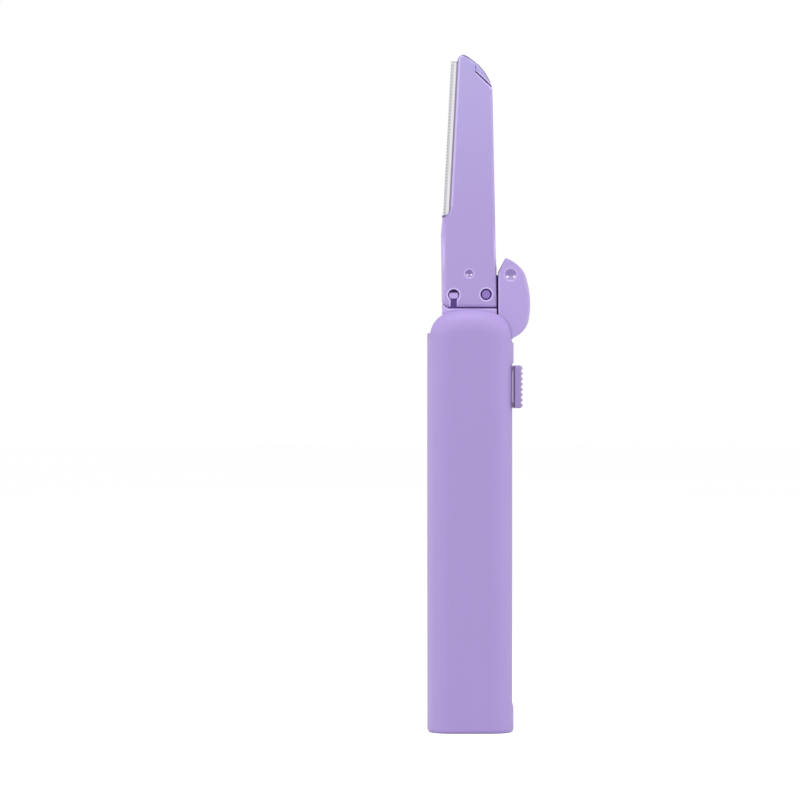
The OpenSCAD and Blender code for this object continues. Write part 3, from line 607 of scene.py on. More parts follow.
def springPath():
    # a straight leg up to the coil, half turns of circles that climb along Y, and a straight leg on up; the side of
    # each point is its direction away from the coil's axis
    r, start = spring["coil"], -spring["turns"] * spring["pitch"] / 2
    turn = np.linspace(0, spring["turns"] - 0.5, int(spring["steps"] * (spring["turns"] - 0.5)) + 1)
    a = np.pi - 2 * np.pi * turn
    coil = np.stack([r * np.cos(a), start + spring["pitch"] * turn, r * np.sin(a)], 1)
    low = np.stack([np.full(4, -r), np.full(4, start), np.linspace(-spring["legDown"], -0.4, 4)], 1)
    high = np.stack([np.full(4, r), np.full(4, coil[-1, 1]), np.linspace(0.4, spring["legUp"], 4)], 1)
    side = np.concatenate([np.tile([-1.0, 0, 0], (4, 1)), np.stack([np.cos(a), 0 * a, np.sin(a)], 1),
                           np.tile([1.0, 0, 0], (4, 1))])
    return np.concatenate([low, coil, high]) + [hinge[0], 0, hinge[1]], side


lidSpring = makeObject("lidSpring", tubeSheets(*springPath(), spring["wire"], 12))
hingePin = makeObject("hingePin", pinSheets(pin["radius"], -pin["half"], pin["half"], hinge, pin["ease"]))
finishPiece(lidSpring, "case", springSteel, "lid_spring", sharp=50.0)
finishPiece(hingePin, "case", springSteel, "hinge_pin")
print("hinge pin and spring made")

lid = dict(thick=5.2, face=6.9, rise=15.5, heel=1.97, tipTilt=65.0, opened=85.0, edge=0.22, wall=1.2,
           ear=1.2, coilRoom=1.33, pinHole=0.55, dishX=1.1, dishZ=14.8, dishR=1.5, dishDepth=0.45, dishPast=1.25,
           curveIn=0.66, curveUp=5.26, curveR=6.63, curveFrom=-80.0, curveTo=-10.0, curveSteps=15,
           flapReach=0.7, flapFrom=2.25, flapTo=2.55, flapLow=104.3, flapHigh=114.3, far=20.0,
           tipArc=(5.447, 109.27), tipArcR=9.74, tipFrom=28.0, tipTo=70.5)
lidTip = np.array([lid["face"], hinge[1] + lid["rise"]])
dishAt = (hinge[0] + lid["dishX"], hinge[1] + lid["dishZ"])
tipNormal = direction(lid["tipTilt"] + 90)
tipAt = tipNormal @ lidTip
# a painted shade for gaps and a painted highlight for lit rims and edges
deepShade, paintedHighlight = (0.085, 0.035, 0.2), (0.66, 0.55, 0.92)
# painted shade in the finger dish, painted highlights round it and along the face's edge, and painted shade along the
# tip's edge and in the gap beside the cartridge
lidPlastic = plastic("lidLavender", (0.44, 0.335, 0.68), 0.46, [
    ((0.27, 0.19, 0.47), 0.85, 0.3, ring(dishAt, 0, 1.42)),
    (paintedHighlight, 0.5, None, ring(dishAt, 1.62, 0.13)),
    (paintedHighlight, 0.5, None, band("x", 7.08, 7.3), band("z", 90.0, 114.8)),
    ((0.12, 0.08, 0.2), 0.8, None, band(tipNormal, tipAt - 0.22, tipAt + 1)),
    ((0.2, 0.09, 0.42), 1.0, None, band("x", 5.9, 6.94, 0.03))],
    (0.16, ring(dishAt, 0, 1.45), band("z", dishAt[1] - 3, dishAt[1] - 0.15, 0.2)))


def crossing(start, along, centre, radius):
    # where a ray from start first leaves the circle
    gap = np.subtract(start, centre)
    b = gap @ along
    return start + along * (-b + np.sqrt(b * b - gap @ gap + radius ** 2))


def lidOuter(inset=0.0):
    # the closed case's side, shoulders and crown, turned open, from the lower side round to the far side
    half = case["width"] / 2 - inset
    rs, rc = case["shoulder"] - inset, case["crown"] - inset
    closed = np.concatenate([[[half, crownZ]], arc((shoulderX, shoulderZ), rs, 0, 90 - crownHalf, 30),
                             arc((0, crownZ), rc, 90 - crownHalf, 90 + crownHalf, 30)[1:],
                             arc((-shoulderX, shoulderZ), rs, 90 + crownHalf, 180, 30)[1:], [[-half, crownZ]]])
    return np.stack(turned(closed.T, lid["opened"]), 1)


def lidPiece():
    # the part of the closed case's end that lies inside the lid's own outline: face, round heel, long heel curve, tip
    t, e, r = lid["thick"] / 2, lid["edge"], case["depth"] / 2
    ys, edge = rolledRims(-t, t, e, 6, 10)
    outer = lidOuter()
    kinds = np.zeros(len(outer), int)
    kinds[-1] = 1
    insets = np.stack([edge + r - np.sqrt(r * r - ys * ys), 0 * ys], 1)
    obj = makeObject("flipLid", plateSheets(outer, 0, 1, kinds, ys, insets))
    curve = arc((hinge[0] - lid["curveIn"], hinge[1] + lid["curveUp"]), lid["curveR"], lid["curveFrom"],
                lid["curveTo"], lid["curveSteps"])
    curve = curve[np.hypot(*(curve - hinge).T) > lid["heel"]]
    heelTo = bearing(curve[0] - hinge) % 360
    flatter = arc(lid["tipArc"], lid["tipArcR"], lid["tipFrom"], lid["tipTo"], 16)
    own = np.concatenate([arc(hinge, lid["heel"], 180.5, heelTo, 20)[:-1], curve,
                          [[lid["far"], curve[-1, 1]], [lid["far"], flatter[0, 1]]], flatter, [lidTip]])
    radii, counts = np.zeros(len(own)), np.ones(len(own), int)
    radii[-2:], counts[-2:] = 0.25, 5
    cutAway(obj, [softPlate(own, radii, counts, -t - 0.02, t + 0.02, e)], "INTERSECT")
    # hollow between its walls, room for the spring between the ears, the pin's hole and the finger dish
    w = t - lid["ear"]
    inOuter = lidOuter(lid["wall"])
    top = lidTip[1] - lid["wall"]
    keep = inOuter[(inOuter[:, 1] < top) & (inOuter[:, 1] > hinge[1])]
    room = np.concatenate([[[lid["face"] - 1, hinge[1]], [keep[0, 0], hinge[1]]], keep,
                           [[keep[-1, 0], top], [lid["face"] - 1, top]]])
    hollow = squarePlate(room, (-w, w))
    ears = blockSheets((lid["face"] - 1, -w, hinge[1] - 3), (hinge[0], w, hinge[1] + 1))
    depth, radius = lid["dishDepth"], lid["dishR"]
    ball = (radius ** 2 + depth ** 2) / (2 * depth)
    lat = np.linspace(0, np.arcsin(radius / ball) * lid["dishPast"], 14)
    bowl = np.stack([ball * np.sin(lat), -t + depth - ball + ball * np.cos(lat)], 1)
    dish = turnedSheets(np.concatenate([bowl, [[bowl[-1, 0], -t - 1], [0, -t - 1]]]), dishAt, 72)
    # a thin lip at the back that all but closes the gap beside the cartridge, dark with the gap's painted shade
    joinOn(obj, [blockSheets((lid["face"] - lid["flapReach"], lid["flapFrom"], lid["flapLow"]),
                             (lid["face"] + 0.4, lid["flapTo"], lid["flapHigh"]))])
    return cutAway(obj, [hollow, ears, pinSheets(lid["coilRoom"], -w, w, hinge),
                         pinSheets(lid["pinHole"], -4, 4, hinge), dish])


finishPiece(lidPiece(), "lid", lidPlastic, "lid")
print("lid made")

cart = dict(left=-7.15, right=6.6, low=106.2, top=169.2, halfThick=2.2, edge=0.85, cornerR=1.6, smallR=0.4, topR=1.5,
            bellyOut=0.2, bellyZ=124.47, tipR=12.0, tipX=-6.25, tipZ=157.95, tipFrom=12.0, seam=0.07, bevelW=0.6,
            bevelH=0.5, throatW=1.7, throatH=2.6, lipR=0.12, bellyR=6.0, bladeOut=1.55, stepX=1.207, stepZ=164.8,
            stepSlope=0.95, stepEdge=0.12, lugGap=0.24, lugSide=0.08, lugDrop=0.2, lugEdge=0.1, pocketHalf=1.05,
            pocketLeft=-6.35, pocketTop=118.2, pocketR=1.6, stakeR=0.7, stakeIn=3.2026, stakeReach=0.8,
            stakes=(4.095, 34.335), slitHalf=0.15, slitWide=5.1, slitPast=0.1)
# the blade's edge runs up from edgeLow, and leans 3 degrees to the right
edgeLow, edgeLean, edgeLength = np.array([-6.85, 128.565]), 3.0, 39.186
edgeAlong, edgeAcross = direction(90 - edgeLean), direction(-edgeLean)
holes = dict(keyX=-4.2, keyZ=109.2, lockX=3.9, lockZ=109.35, radius=1.4, slotWidth=1.55, rim=0.16,
             dimpleX=-0.35, dimpleZ=114.5, dimpleR=1.05, dimpleDepth=0.36, dimplePast=1.12)
key, lock = (holes["keyX"], holes["keyZ"]), (holes["lockX"], holes["lockZ"])
dimpleAt = (holes["dimpleX"], holes["dimpleZ"])
lowLeft = np.array([cart["left"] + cart["cornerR"], cart["low"] + cart["cornerR"]])
tipCentre = np.array([cart["tipX"], cart["tipZ"]])
stepCorner = np.array([cart["stepX"], cart["stepZ"]])
stepNormal = np.array([cart["stepSlope"], 1.0]) / np.hypot(1, cart["stepSlope"])


def onEdge(across, along):
    # a place counted across the blade and along its edge
    return edgeLow + np.multiply.outer(across, edgeAcross) + np.multiply.outer(along, edgeAlong)


def acrossBlade(low, high, soft=0.08):
    # a mark between two distances across the blade
    start = edgeAcross @ edgeLow
    return band(edgeAcross, start + low, start + high, soft)


def alongBlade(low, high, soft=0.06):
    # a mark between two distances along the blade's edge
    start = edgeAlong @ edgeLow
    return band(edgeAlong, start + low, start + high, soft)


def stepEnds(start):
    # the angles at which a line down the step's slope and a line straight up leave the tip's arc
    low = crossing(start, np.array([stepNormal[1], -stepNormal[0]]), tipCentre, cart["tipR"])
    return bearing(low - tipCentre), np.degrees(np.arccos((start[0] - tipCentre[0]) / cart["tipR"]))


def alongStep(low, high, soft=0.06):
    # a mark beside the slanted line of the tip's step, right of its corner
    start = stepNormal @ stepCorner
    return (band(stepNormal, start + low, start + high, soft),
            band("x", cart["stepX"] + 0.1, 10, 0.15))


cartridgeTone = (0.417, 0.36, 0.672)
# painted shade beside the blade
shadeBesideBlade = ((0.2, 0.16, 0.25), 0.9, None, acrossBlade(1.3, 1.8), band("z", 130.6, 175, 0.4))
# a painted highlight on the bevel along the blade
bevelHighlight = (paintedHighlight, 0.45, None, acrossBlade(1.9, 2.3), band("z", 131.2, 168.2, 0.4))
# darker and pinker towards the lower end
warmFoot = ((0.405, 0.31, 0.635), 1.0, None, band("z", 60, 150, 25))
tipBorder = (ring(tipCentre, 11.9, 0.16), band("z", 160, 172), band("y", -3, -1.4, 0.15))
# painted shade along the tip's rounded edge, on the front half and on the lug
tipEdgeShade = ((0.08, 0.06, 0.11), 1.0, None, *tipBorder, band("x", -12, 1.3))
lugEdgeShade = ((0.12, 0.09, 0.17), 1.0, None, *tipBorder, band("x", 1.5, 8))
# painted shade round the throat
throatShade = ((0.1, 0.08, 0.14), 0.9, None, ring(onEdge(cart["bladeOut"] - 2.3, 2.3), 2.3, 0.2),
              band("x", -7.0, -4.5), band("z", 128.3, 131.2))
# painted highlights on the left edge: a narrow streak and a wider, fainter band
leftGleam = ((0.62, 0.5, 0.84), 0.7, None, band("x", -6.95, -6.45, 0.2), band("z", 116.5, 122.5, 1.5))
leftGlow = ((0.58, 0.46, 0.82), 0.35, None, band("x", -7.5, -6.1, 0.4), band("z", 107.5, 126.0, 3))
rightAt = tipCentre + cart["tipR"] * direction(cart["tipFrom"])
rightNormal = np.array([rightAt[1] - cart["low"], cart["right"] - rightAt[0]])
rightNormal /= np.hypot(*rightNormal)
rightOff = rightNormal @ rightAt
# painted highlights along the right edge and the lower edge
rightRimHighlight = (paintedHighlight, 0.5, None, band(rightNormal, rightOff - 0.5, rightOff + 0.1, 0.15),
            band("z", 106, 124, 3))
lowRimHighlight = (paintedHighlight, 0.55, None, band("z", 106.0, 106.62))
frontPlastic = plastic("cartridgeLavender", cartridgeTone, 0.42, [
    warmFoot, leftGlow, leftGleam, rightRimHighlight, throatShade, tipEdgeShade, shadeBesideBlade, bevelHighlight, lowRimHighlight,
    # painted highlights round the holes and beside the keyhole's slot, painted shade in the dimple with a painted
    # highlight round it, and a painted highlight below the step's line
    (paintedHighlight, 0.85, None, ring(key, 1.63, 0.15)),
    (paintedHighlight, 0.85, None, ring(lock, 1.63, 0.15)),
    (paintedHighlight, 0.7, None, band("x", key[0] - 1.12, key[0] + 1.12), band("z", 106.0, 108.1, 0.2)),
    ((0.22, 0.14, 0.4), 0.85, 0.3, ring(dimpleAt, 0, 0.98)),
    (paintedHighlight, 0.55, None, ring(dimpleAt, 1.2, 0.12)),
    (paintedHighlight, 0.5, None, *alongStep(-0.42, -0.12))],
    (0.08, ring(dimpleAt, 0, 1.05), band("z", dimpleAt[1] - 2, dimpleAt[1] - 0.05, 0.15)), skin=0.1, gloss=0.45)
backPlastic = plastic("cartridgeBackLavender", cartridgeTone, 0.42, [
    warmFoot, rightRimHighlight, tipEdgeShade, lugEdgeShade, shadeBesideBlade, bevelHighlight, lowRimHighlight,
    # a painted highlight along the lug's edge and painted shade in the gap beside the step
    (paintedHighlight, 0.6, None, *alongStep(0.34, 0.6)),
    (deepShade, 1.0, None, *alongStep(-0.4, 0.3))], skin=0.1, gloss=0.45)


def cartridgeChain(front):
    # counter-clockwise from the lower left: corners, corner radii, counts, and the kind of each side;
    # kind 0 is rounded over, 1 has the bevel along the blade, 2 is square with a small edge
    throatSteps, belowStep = 14, 10
    belly = np.array([cart["left"] - cart["bellyOut"] + cart["topR"], cart["bellyZ"]])
    topX = onEdge(0.0, edgeLength)[0] + cart["bladeOut"] + cart["topR"]
    topLeft = np.array([topX, cart["top"] - cart["topR"]])
    tipTo = tangentAngle(tipCentre, cart["tipR"], topLeft, cart["topR"], -1)
    lowAngle = tangentAngle(belly, cart["topR"], lowLeft, cart["cornerR"], -1)
    upAngle = tangentAngle(belly, cart["topR"], topLeft, cart["topR"], 1)
    down, lowN, upN, tipN = direction(-90), direction(lowAngle), direction(upAngle), direction(tipTo)
    bladeN = -edgeAcross
    bladeOffset = bladeN @ onEdge(cart["bladeOut"], 0.0)
    corner = [meeting(lowN, lowN @ belly + cart["topR"], down, -cart["low"])]
    corner.append(np.array([cart["right"], cart["low"]]))
    tipArc = arc(tipCentre, cart["tipR"], cart["tipFrom"], tipTo, 40)
    topCorner = meeting(tipN, tipN @ tipCentre + cart["tipR"], bladeN, bladeOffset)
    q = np.radians(np.linspace(0, -90, throatSteps))
    throat = onEdge(0, 0) + np.outer(cart["bladeOut"] - cart["throatW"] + cart["throatW"] * np.cos(q), edgeAcross) \
        + np.outer(cart["throatH"] + cart["throatH"] * np.sin(q), edgeAlong)
    lip = meeting(upN, upN @ belly + cart["topR"], -edgeAlong, -edgeAlong @ throat[-1])
    bellyCorner = meeting(upN, upN @ belly + cart["topR"], lowN, lowN @ belly + cart["topR"])
    if front:
        # the step: from the tip's arc along its slanted line back to the corner, then straight up
        lowAt, highAt = stepEnds(stepCorner)
        tipArc = np.concatenate([arc(tipCentre, cart["tipR"], cart["tipFrom"], lowAt, belowStep), [stepCorner],
                                 arc(tipCentre, cart["tipR"], highAt, tipTo, 8)])
    points = np.concatenate([corner, tipArc, [topCorner], throat, [lip], [bellyCorner]])
    radii = np.zeros(len(points))
    counts = np.ones(len(points), int)
    kinds = np.zeros(len(points), int)
    radii[0], counts[0] = cart["cornerR"], 14
    radii[1], counts[1] = cart["smallR"], 8
    topAt = 2 + len(tipArc)
    radii[topAt], counts[topAt] = cart["topR"], 16
    lipAt = topAt + 1 + throatSteps
    kinds[topAt:lipAt] = 1
    radii[lipAt], counts[lipAt] = cart["lipR"], 4
    radii[lipAt + 1], counts[lipAt + 1] = cart["bellyR"], 12
    if front:
        kinds[1 + belowStep:3 + belowStep] = 2
    return points, radii, counts, kinds


def squareEdge(depths, top, small):
    # the inset of a small quarter circle at the top of an upright wall
    drop = np.clip(depths - (top - small), 0, small) / small
    return small * (1 - np.sqrt(np.clip(1 - drop ** 2, 0, 1)))


def cartridgeHalf(front):
    # depths from the seam to the flat face, and the inset of each kind of side there
    h, e, seam = cart["halfThick"], cart["edge"], cart["seam"]
    a = quarter(9)
    low = [seam, seam * 0.4, 0, 0, 0]
    high = h - e + e * np.sin(a)
    ys = np.concatenate([[0, seam * 0.4, seam, 0.6, 1.2], high])
    rounded = e * (1 - np.cos(a))
    bevelled = np.clip(high - (h - cart["bevelH"]), 0, None) * cart["bevelW"] / cart["bevelH"]
    square = squareEdge(high, h, cart["stepEdge"])
    insets = np.stack([np.concatenate([low, inset]) for inset in (rounded, bevelled, square)], 1)
    side, name = (-1, "cartridgeFront") if front else (1, "cartridgeBack")
    return makeObject(name, plateSheets(*cartridgeChain(front), side * ys, insets))


cartFront = cartridgeHalf(True)
cartBack = cartridgeHalf(False)
print("cartridge halves made")


def flaredHole(radius, flare, top, bottom, centre, side=-1):
    # a cutter for a hole whose rim is rounded: the wall, then a quarter circle that opens out at the face
    b = quarter(7)
    rim = np.stack([radius + flare * (1 - np.cos(b)), top - flare + flare * np.sin(b)], 1)
    rows = np.concatenate([[[0, bottom], [radius, bottom]], rim, [[radius + flare, top + 0.5], [0, top + 0.5]]])
    return turnedSheets(rows * [1, side], centre, 64)


def pocketSheets(side):
    # room for the tongue, from the seam to pocketHalf deep, open below and to the right
    corners = rectangle(cart["pocketLeft"], cart["low"] - 1, cart["right"] + 1, cart["pocketTop"])
    return squarePlate(corners, (side * cart["pocketHalf"], -side * 0.5), [0, 0, 0, cart["pocketR"]], [1, 1, 1, 10])


def slitSheets(side):
    # room for the blade between the halves
    wide, past = cart["slitWide"], cart["slitPast"]
    corners = onEdge(np.array([-2, wide, wide, -2]), np.array([-past, -past, edgeLength + past, edgeLength + past]))
    return squarePlate(corners, (side * cart["slitHalf"], -side * 0.5))


def keyholeSheets():
    # one cutter for the keyhole: its hole's arc and its slot down through the lower edge, with a rounded rim
    r, w, f, h = holes["radius"], holes["slotWidth"] / 2, holes["rim"], cart["halfThick"]
    b = quarter(7)
    flare = np.concatenate([[0], f * (1 - np.cos(b)), [f]])
    ys = -np.concatenate([[0.5], h - f + f * np.sin(b), [h + 0.5]])
    side = np.degrees(np.arcsin(w / r))
    low = cart["low"] - 1
    corners = np.concatenate([[[key[0] - w, low], [key[0] + w, low]], arc(key, r, side - 90, 270 - side, 48)])
    return plateSheets(corners, 0, 1, 0, ys, -flare[:, None])


def dimpleSheets():
    # a shallow bowl, a parabola turned about its axis, cut from a little past its rim
    h, depth, radius = cart["halfThick"], holes["dimpleDepth"], holes["dimpleR"]
    t = np.linspace(0, holes["dimplePast"], 14)
    rows = np.stack([radius * t, h - depth * (1 - t ** 2)], 1)
    rows = np.concatenate([rows, [[radius * t[-1], h + 0.6], [0, h + 0.6]]])
    return turnedSheets(rows * [1, -1], dimpleAt, 64)


def stakePins(start, end, more=0.0, ease=0.0):
    # the two stakes through the blade, or with a little more radius their holes
    return [pinSheets(cart["stakeR"] + more, start, end, onEdge(cart["stakeIn"], at), ease) for at in cart["stakes"]]


cutAway(cartFront, [pocketSheets(-1), slitSheets(-1), keyholeSheets(), dimpleSheets(),
                    flaredHole(holes["radius"], holes["rim"], cart["halfThick"], 0.5, lock)]
        + stakePins(-cart["stakeReach"] - fit, 1, fit))
cutAway(cartBack, [pocketSheets(1), slitSheets(1)])


def lugPiece():
    # the back half's lug in the front half's step: rounded over along the tip's arc, square along the step
    side = cart["lugSide"]
    rise = cart["lugGap"] * np.hypot(1, cart["stepSlope"]) - side * cart["stepSlope"]
    start = stepCorner + [side, rise]
    chain = np.concatenate([[start], arc(tipCentre, cart["tipR"], *stepEnds(start), 24)])
    kinds = np.zeros(len(chain), int)
    kinds[[0, -1]] = 1
    top, e = cart["halfThick"] - cart["lugDrop"], cart["edge"] - cart["lugDrop"]
    a = quarter(9)
    ys = np.concatenate([[-0.05], top - e + e * np.sin(a)])
    rounded = np.concatenate([[0], e * (1 - np.cos(a))])
    insets = np.stack([rounded, squareEdge(ys, top, cart["lugEdge"])], 1)
    return plateSheets(chain, 0, 1, kinds, -ys, insets)


joinOn(cartBack, [lugPiece()] + stakePins(-cart["stakeReach"], 0.4, ease=0.1))
finishPiece(cartFront, "slider", frontPlastic, "cartridge_front")
finishPiece(cartBack, "slider", backPlastic, "cartridge_back")
print("cartridge made")

# a painted shade for parts deep inside the case
recessShade = (0.15, 0.075, 0.33)
carriage = dict(half=8.7, low=80.6, top=94.0, corner=1.5, blockR=0.3, thick=4.6, edge=0.2, neckLeft=-7.1,
                neckRight=6.55, neckTop=105.8, neckEdge=0.12, cornerGap=0.15, tongueLeft=-6.25, tongueRight=6.5,
                tongueTop=117.7, tongueThick=1.9, tongueR=1.6, pegR=1.24, pegHalf=0.75, pegDrop=0.15, pegHigh=1.7,
                pegEdge=0.14, keyX=5.5, keyY=1.35, keyLow=81.55, keyHigh=91.05, panelX=3.75, panelLow=83.8,
                panelHigh=90.8, panelDeep=0.8, leafX=-7.8, leafY=1.45, leafLow=81.45, leafHigh=91.15, windowHalf=1.5,
                windowLow=107.65, rootZ=116.3, rootY=-0.2, rootR=0.42)
# lighter than the case's colour, as painted light against the shade of the mouth; a painted highlight along the neck's
# top, painted shade on the tongue and darker painted shade in the keyhole's crescent
carriagePlastic = plastic("carriageLavender", (0.55, 0.41, 0.82), 0.46, [
    (paintedHighlight, 0.4, None, band("z", 105.45, 105.75)),
    (recessShade, 1.0, None, band("z", carriage["neckTop"] - 0.02, 125, 0.03), band("y", -1.2, 1.2)),
    ((0.05, 0.015, 0.13), 1.0, None, ring(key, 0, 1.6), band("z", 109.3, 111), band("y", -1.2, 1.2))])


def carriagePiece():
    # block, neck with its raised left end, tongue and flat-sided peg, joined, then its recesses cut
    c = carriage
    half, low, top, k = c["half"], c["low"], c["top"], c["corner"]
    block = np.array([[k - half, low], [half - k, low], [half, low + k], [half, top], [-half, top], [-half, low + k]])
    obj = makeObject("bladeCarriage", softPlate(block, c["blockR"], 4, -c["thick"] / 2, c["thick"] / 2, c["edge"]))
    r = cart["cornerR"] + c["cornerGap"]
    end = -180 + np.degrees(np.arccos((lowLeft[0] - c["neckLeft"]) / r))
    rise = arc(lowLeft, r, -90, end, 12)
    neck = np.concatenate([[[c["neckLeft"], top - 1], [c["neckRight"], top - 1], [c["neckRight"], c["neckTop"]],
                            [lowLeft[0], c["neckTop"]]], rise])
    tongue = rectangle(c["tongueLeft"], c["neckTop"] - 1, c["tongueRight"], c["tongueTop"])
    flat = np.degrees(np.arcsin(c["pegHalf"] / c["pegR"]))
    pegAt = np.subtract(key, (0, c["pegDrop"]))
    peg = np.concatenate([arc(pegAt, c["pegR"], -flat, flat, 14), arc(pegAt, c["pegR"], 180 - flat, 180 + flat, 14)])
    h, t = cart["halfThick"], c["tongueThick"] / 2
    joinOn(obj, [softPlate(neck, 0, 1, -h, h, c["neckEdge"]),
                 squarePlate(tongue, (-t, t), [0, 0, c["tongueR"], c["tongueR"]], [1, 1, 10, 10]),
                 softPlate(peg, 0, 1, -c["pegHigh"], -0.4, c["pegEdge"], True)])
    x = holes["lockX"]
    face = c["thick"] / 2
    cuts = [blockSheets((c["keyX"], -c["keyY"], c["keyLow"]), (half + 1, c["keyY"], c["keyHigh"])),
            blockSheets((-half - 1, -c["leafY"], c["leafLow"]), (c["leafX"], c["leafY"], c["leafHigh"])),
            blockSheets((x - c["windowHalf"], -2, c["windowLow"]), (x + c["windowHalf"], 2, c["rootZ"])),
            pinSheets(c["rootR"] + fit, x - c["windowHalf"], x + c["windowHalf"], (c["rootY"], c["rootZ"]), axis="x")]
    for s in (-1, 1):
        cuts.append(blockSheets((-c["panelX"], s * (face - c["panelDeep"]), c["panelLow"]),
                                (c["panelX"], s * (face + 1), c["panelHigh"])))
    return cutAway(obj, cuts)


finishPiece(carriagePiece(), "slider", carriagePlastic, "carriage")

finger = dict(left=2.65, right=5.15, low=108.15, front=-0.55, back=0.15, pegR=1.15, pegHigh=1.7, pegEdge=0.16)
# painted shade over the finger except the front end of its peg
fingerPlastic = plastic("fingerLavender", (0.3, 0.19, 0.56), 0.42, [
    (recessShade, 1.0, None, band("y", -1.45, 2, 0.05))], drift=0.03)


def fingerPiece():
    # a flat arm that turns on the round root at its top and carries the round peg
    f = finger
    arm = rectangle(f["left"], f["low"], f["right"], carriage["rootZ"])
    obj = makeObject("lockFinger", softPlate(arm, [0.4, 0.4, 0, 0], [6, 6, 1, 1], f["front"], f["back"], 0.1))
    root = pinSheets(carriage["rootR"], f["left"], f["right"], (carriage["rootY"], carriage["rootZ"]), 0.06, "x")
    return joinOn(obj, [root, pinSheets(f["pegR"], -f["pegHigh"], carriage["rootY"], lock, f["pegEdge"])])


finishPiece(fingerPiece(), "lock", fingerPlastic, "lock_finger")
print("carriage and finger made")

blade = dict(thick=0.25, wide=5.004, ground=0.7, mid=0.35, edge=0.008)
# painted shade where the guard's windows show the blade and beside the plastic's wall; greyer at the top end
bladeSteel = steel("bladeSteel", (0.84, 0.83, 0.86), (1, 1, 0.02), 0.3, [
    ((0.32, 0.31, 0.34), 0.9, None, acrossBlade(-1, 0.66)),
    ((0.4, 0.39, 0.42), 0.7, None, alongBlade(edgeLength - 0.3, edgeLength + 1)),
    ((0.2, 0.17, 0.24), 0.9, None, acrossBlade(1.38, 2))])
# greyer across its folded edge
guardSteel = steel("guardSteel", (0.8, 0.8, 0.81), (1, 1, 0.3), 0.35, [
    ((0.42, 0.41, 0.44), 0.55, None, acrossBlade(0.1, 0.95, 0.2))])


def bladePiece():
    # a section across the strip, thin at its edge, then two ground faces and the flat body, carried along the edge
    t = blade["thick"] / 2
    upper = np.array([[0, blade["edge"]], [blade["ground"] * blade["mid"], t * 0.5], [blade["ground"], t],
                      [blade["wide"], t]])
    section = np.concatenate([upper, upper[::-1] * [1, -1]])
    along = np.linspace(0, edgeLength, 60)
    grid = atDepth(onEdge(section[None, :, 0], along[:, None]), section[:, 1][None, :])
    ends = [(grid[k], np.array([[0, 1, 6, 7], [1, 2, 5, 6], [2, 3, 4, 5]])) for k in (0, -1)]
    obj = makeObject("bladeStrip", [gridSheet(grid, True)] + ends)
    return cutAway(obj, stakePins(-1, 1, fit))


finishPiece(bladePiece(), "slider", bladeSteel, "blade", sharp=3.0)
print("blade made")

pad = dict(x=10.95, out=2.05, mid=86.3, long=10.7, wide=7.0, corner=0.9, ribs=7, ribDepth=0.38, ribShare=0.78,
           rollOut=0.7, ribRoom=0.8, ribFlat=0.3, ribRound=0.1, innerRound=0.12, draw=0.8)
# stem in the slot, its key in the carriage, thin base plate and bar beside the case: start and end across, length,
# thickness and rounding
padBoxes = dict(stem=(8.7, 11.25, 10.5, 3.1, 0.3), key=(5.55, 11.25, 9.4, 2.6, 0.3),
                base=(10.42, 10.66, 7.8, 5.8, 0.08), bar=(10.44, 10.64, 10.6, 2.9, 0.08))
# painted light on the pad's outer side, painted shade in the gap by the case, and the base plate and bar painted pale
# as painted light along the case's edge
padPlastic = plastic("padLavender", (0.335, 0.25, 0.53), 0.5, [
    ((0.37, 0.3, 0.5), 0.8, None, band("x", 12.4, 13.5, 0.35)),
    ((0.25, 0.17, 0.42), 0.85, None, band("x", 10.7, 11.2, 0.12)),
    ((0.88, 0.74, 1.0), 0.95, None, band("x", 10.39, 10.68, 0.02))])


def padSheets():
    # front view: a rounded block with a row of grooves; towards either end across the case it shrinks as a quarter
    # circle, towards its middle height and towards the case
    z0, z1, x0, x1 = pad["mid"] - pad["long"] / 2, pad["mid"] + pad["long"] / 2, pad["x"], pad["x"] + pad["out"]
    pitch = (pad["long"] - pad["ribRoom"]) / (pad["ribs"] + 0.5)
    middle = pad["mid"] + (np.arange(pad["ribs"]) - (pad["ribs"] - 1) / 2) * pitch
    w = pitch * pad["ribShare"] / 2
    across = np.tile([x1, x1 - pad["ribDepth"], x1 - pad["ribDepth"], x1], pad["ribs"])
    rib = np.stack([across, (middle[:, None] + w * np.array([-1, -pad["ribFlat"], pad["ribFlat"], 1])).ravel()], 1)
    corners = np.concatenate([[[x0, z0], [x1, z0]], rib, [[x1, z1], [x0, z1]]])
    radii = np.concatenate([[pad["innerRound"], pad["corner"]], np.full(len(rib), pad["ribRound"]),
                            [pad["corner"], pad["innerRound"]]])
    counts = np.concatenate([[4, 12], np.full(len(rib), 4), [12, 4]])
    outline = outlineRing(corners, radii, counts, 0.0)
    ys, shrink = rolledRims(-pad["wide"] / 2, pad["wide"] / 2, pad["rollOut"], 9, 7)
    shrink = shrink[:, None] * pad["draw"]
    x = x0 + (outline[:, 0] - x0) * (1 - shrink / pad["out"])
    z = pad["mid"] + (outline[:, 1] - pad["mid"]) * (1 - shrink / (pad["long"] / 2))
    grid = atDepth(np.stack([x, z], -1), ys[:, None])
    sheets = [gridSheet(grid, True), flatSheet([grid[0][:, [0, 2]]], ys[0]), flatSheet([grid[-1][:, [0, 2]]], ys[-1])]
    for start, end, long, thick, r in padBoxes.values():
        box = rectangle(start, pad["mid"] - long / 2, end, pad["mid"] + long / 2)
        sheets += squarePlate(box, (-thick / 2, thick / 2), r, 5)
    return sheets


finishPiece(makeObject("thumbSlider", padSheets()), "slider", padPlastic, "thumb_slider")
print("thumb slider made")

for node, material in (("detent_leaf", springSteel), ("blade_guard", guardSteel)):
    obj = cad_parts[node]
    if not obj.material_slots:
        obj.data.materials.append(material)
    for slot in obj.material_slots:
        slot.material = material
print("solids finished")

room = dict(away=0.95, middleX=-0.0176, middleZ=0.083, across=0.2, sensor=36.0, world=0.6, floorSize=6.0,
            floorGlow=0.5, aim=(0, 0, 0.1))
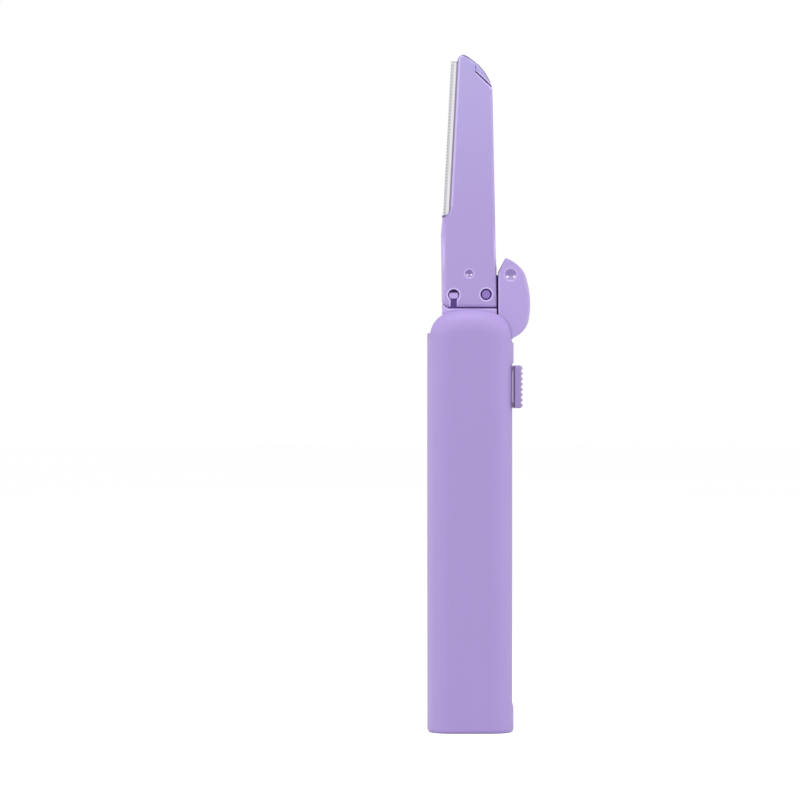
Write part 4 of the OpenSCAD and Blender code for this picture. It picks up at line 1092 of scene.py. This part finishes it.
# name, place, width and height in metres, and watts; the first two stand on both sides
lamps = (("frontSpot", (0.7, -0.85, 0.55), (0.28, 0.28), 2.05), ("sidePanel", (0.6, -0.05, 0.2), (0.3, 0.6), 1.15),
         ("topPanel", (0, -0.06, 0.4), (0.2, 0.12), 0.42))


def backgroundRays(tree):
    # 1 for what the camera sees directly, in gloss or through glass, and 0 for what lights the object
    path = add(tree, "LightPath")
    gloss = reckon(tree, "MAXIMUM", path.outputs["Is Camera Ray"], path.outputs["Is Glossy Ray"])
    return reckon(tree, "MAXIMUM", gloss, path.outputs["Is Transmission Ray"])


def paleFloor():
    # a large flat floor that takes the object's shadow and is white to the camera and to gloss
    reach = room["floorSize"] / mm
    steps = np.linspace(-reach, reach, 9)
    floor = makeObject("paleFloor", [gridSheet(np.stack(np.meshgrid(steps, steps, 0.0), -1)[:, :, 0])])
    material = bpy.data.materials.new("paleFloor")
    material.use_nodes = True
    tree = material.node_tree
    body = tree.nodes["Principled BSDF"]
    place = add(tree, "TexCoord").outputs["Object"]
    tone = add(tree, "MapRange", {0: noise(tree, place, 3.0, 2.0), 3: 0.8, 4: 0.84})
    tree.links.new(tone.outputs[0], body.inputs["Base Color"])
    for name, value in (("Roughness", 0.9), ("Specular IOR Level", 0.0), ("Emission Color", (1, 1, 1, 1))):
        body.inputs[name].default_value = value
    glow = reckon(tree, "MULTIPLY", backgroundRays(tree), room["floorGlow"])
    tree.links.new(glow, body.inputs["Emission Strength"])
    floor.data.materials.append(material)


def softRoom():
    # an even white room: plain light on the object, and white where it is seen
    world = bpy.data.worlds.new("softRoom")
    scene.world = world
    world.use_nodes = True
    tree = world.node_tree
    light = add(tree, "MapRange", {0: backgroundRays(tree), 3: room["world"], 4: 1.0})
    tree.nodes["Background"].inputs["Color"].default_value = (1, 1, 1, 1)
    tree.links.new(light.outputs[0], tree.nodes["Background"].inputs["Strength"])


def softLamp(name, place, size, watts):
    # a rectangle of light that faces the middle of the object
    lamp = bpy.data.lights.new(name, "AREA")
    lamp.shape, lamp.size, lamp.size_y, lamp.energy = "RECTANGLE", size[0], size[1], watts
    obj = bpy.data.objects.new(name, lamp)
    obj.location = place
    obj.rotation_mode = "QUATERNION"
    obj.rotation_quaternion = (Vector(room["aim"]) - Vector(place)).to_track_quat("-Z", "Y")
    obj.visible_camera = False
    scene.collection.objects.link(obj)


scene.view_settings.view_transform = "Standard"
paleFloor()
softRoom()
for x in (-1, 1):
    for name, place, size, watts in lamps[:2]:
        softLamp(name, (x * place[0], *place[1:]), size, watts)
softLamp(*lamps[2])

camera = bpy.data.cameras.new("camera")
camera.sensor_width = room["sensor"]
camera.lens = room["sensor"] * room["away"] / room["across"]
camera.clip_end = 20.0
cameraObject = bpy.data.objects.new("camera", camera)
cameraObject.location = (room["middleX"], -room["away"], room["middleZ"])
cameraObject.rotation_euler = (np.pi / 2, 0, 0)
scene.collection.objects.link(cameraObject)
scene.camera = cameraObject
print("room made")
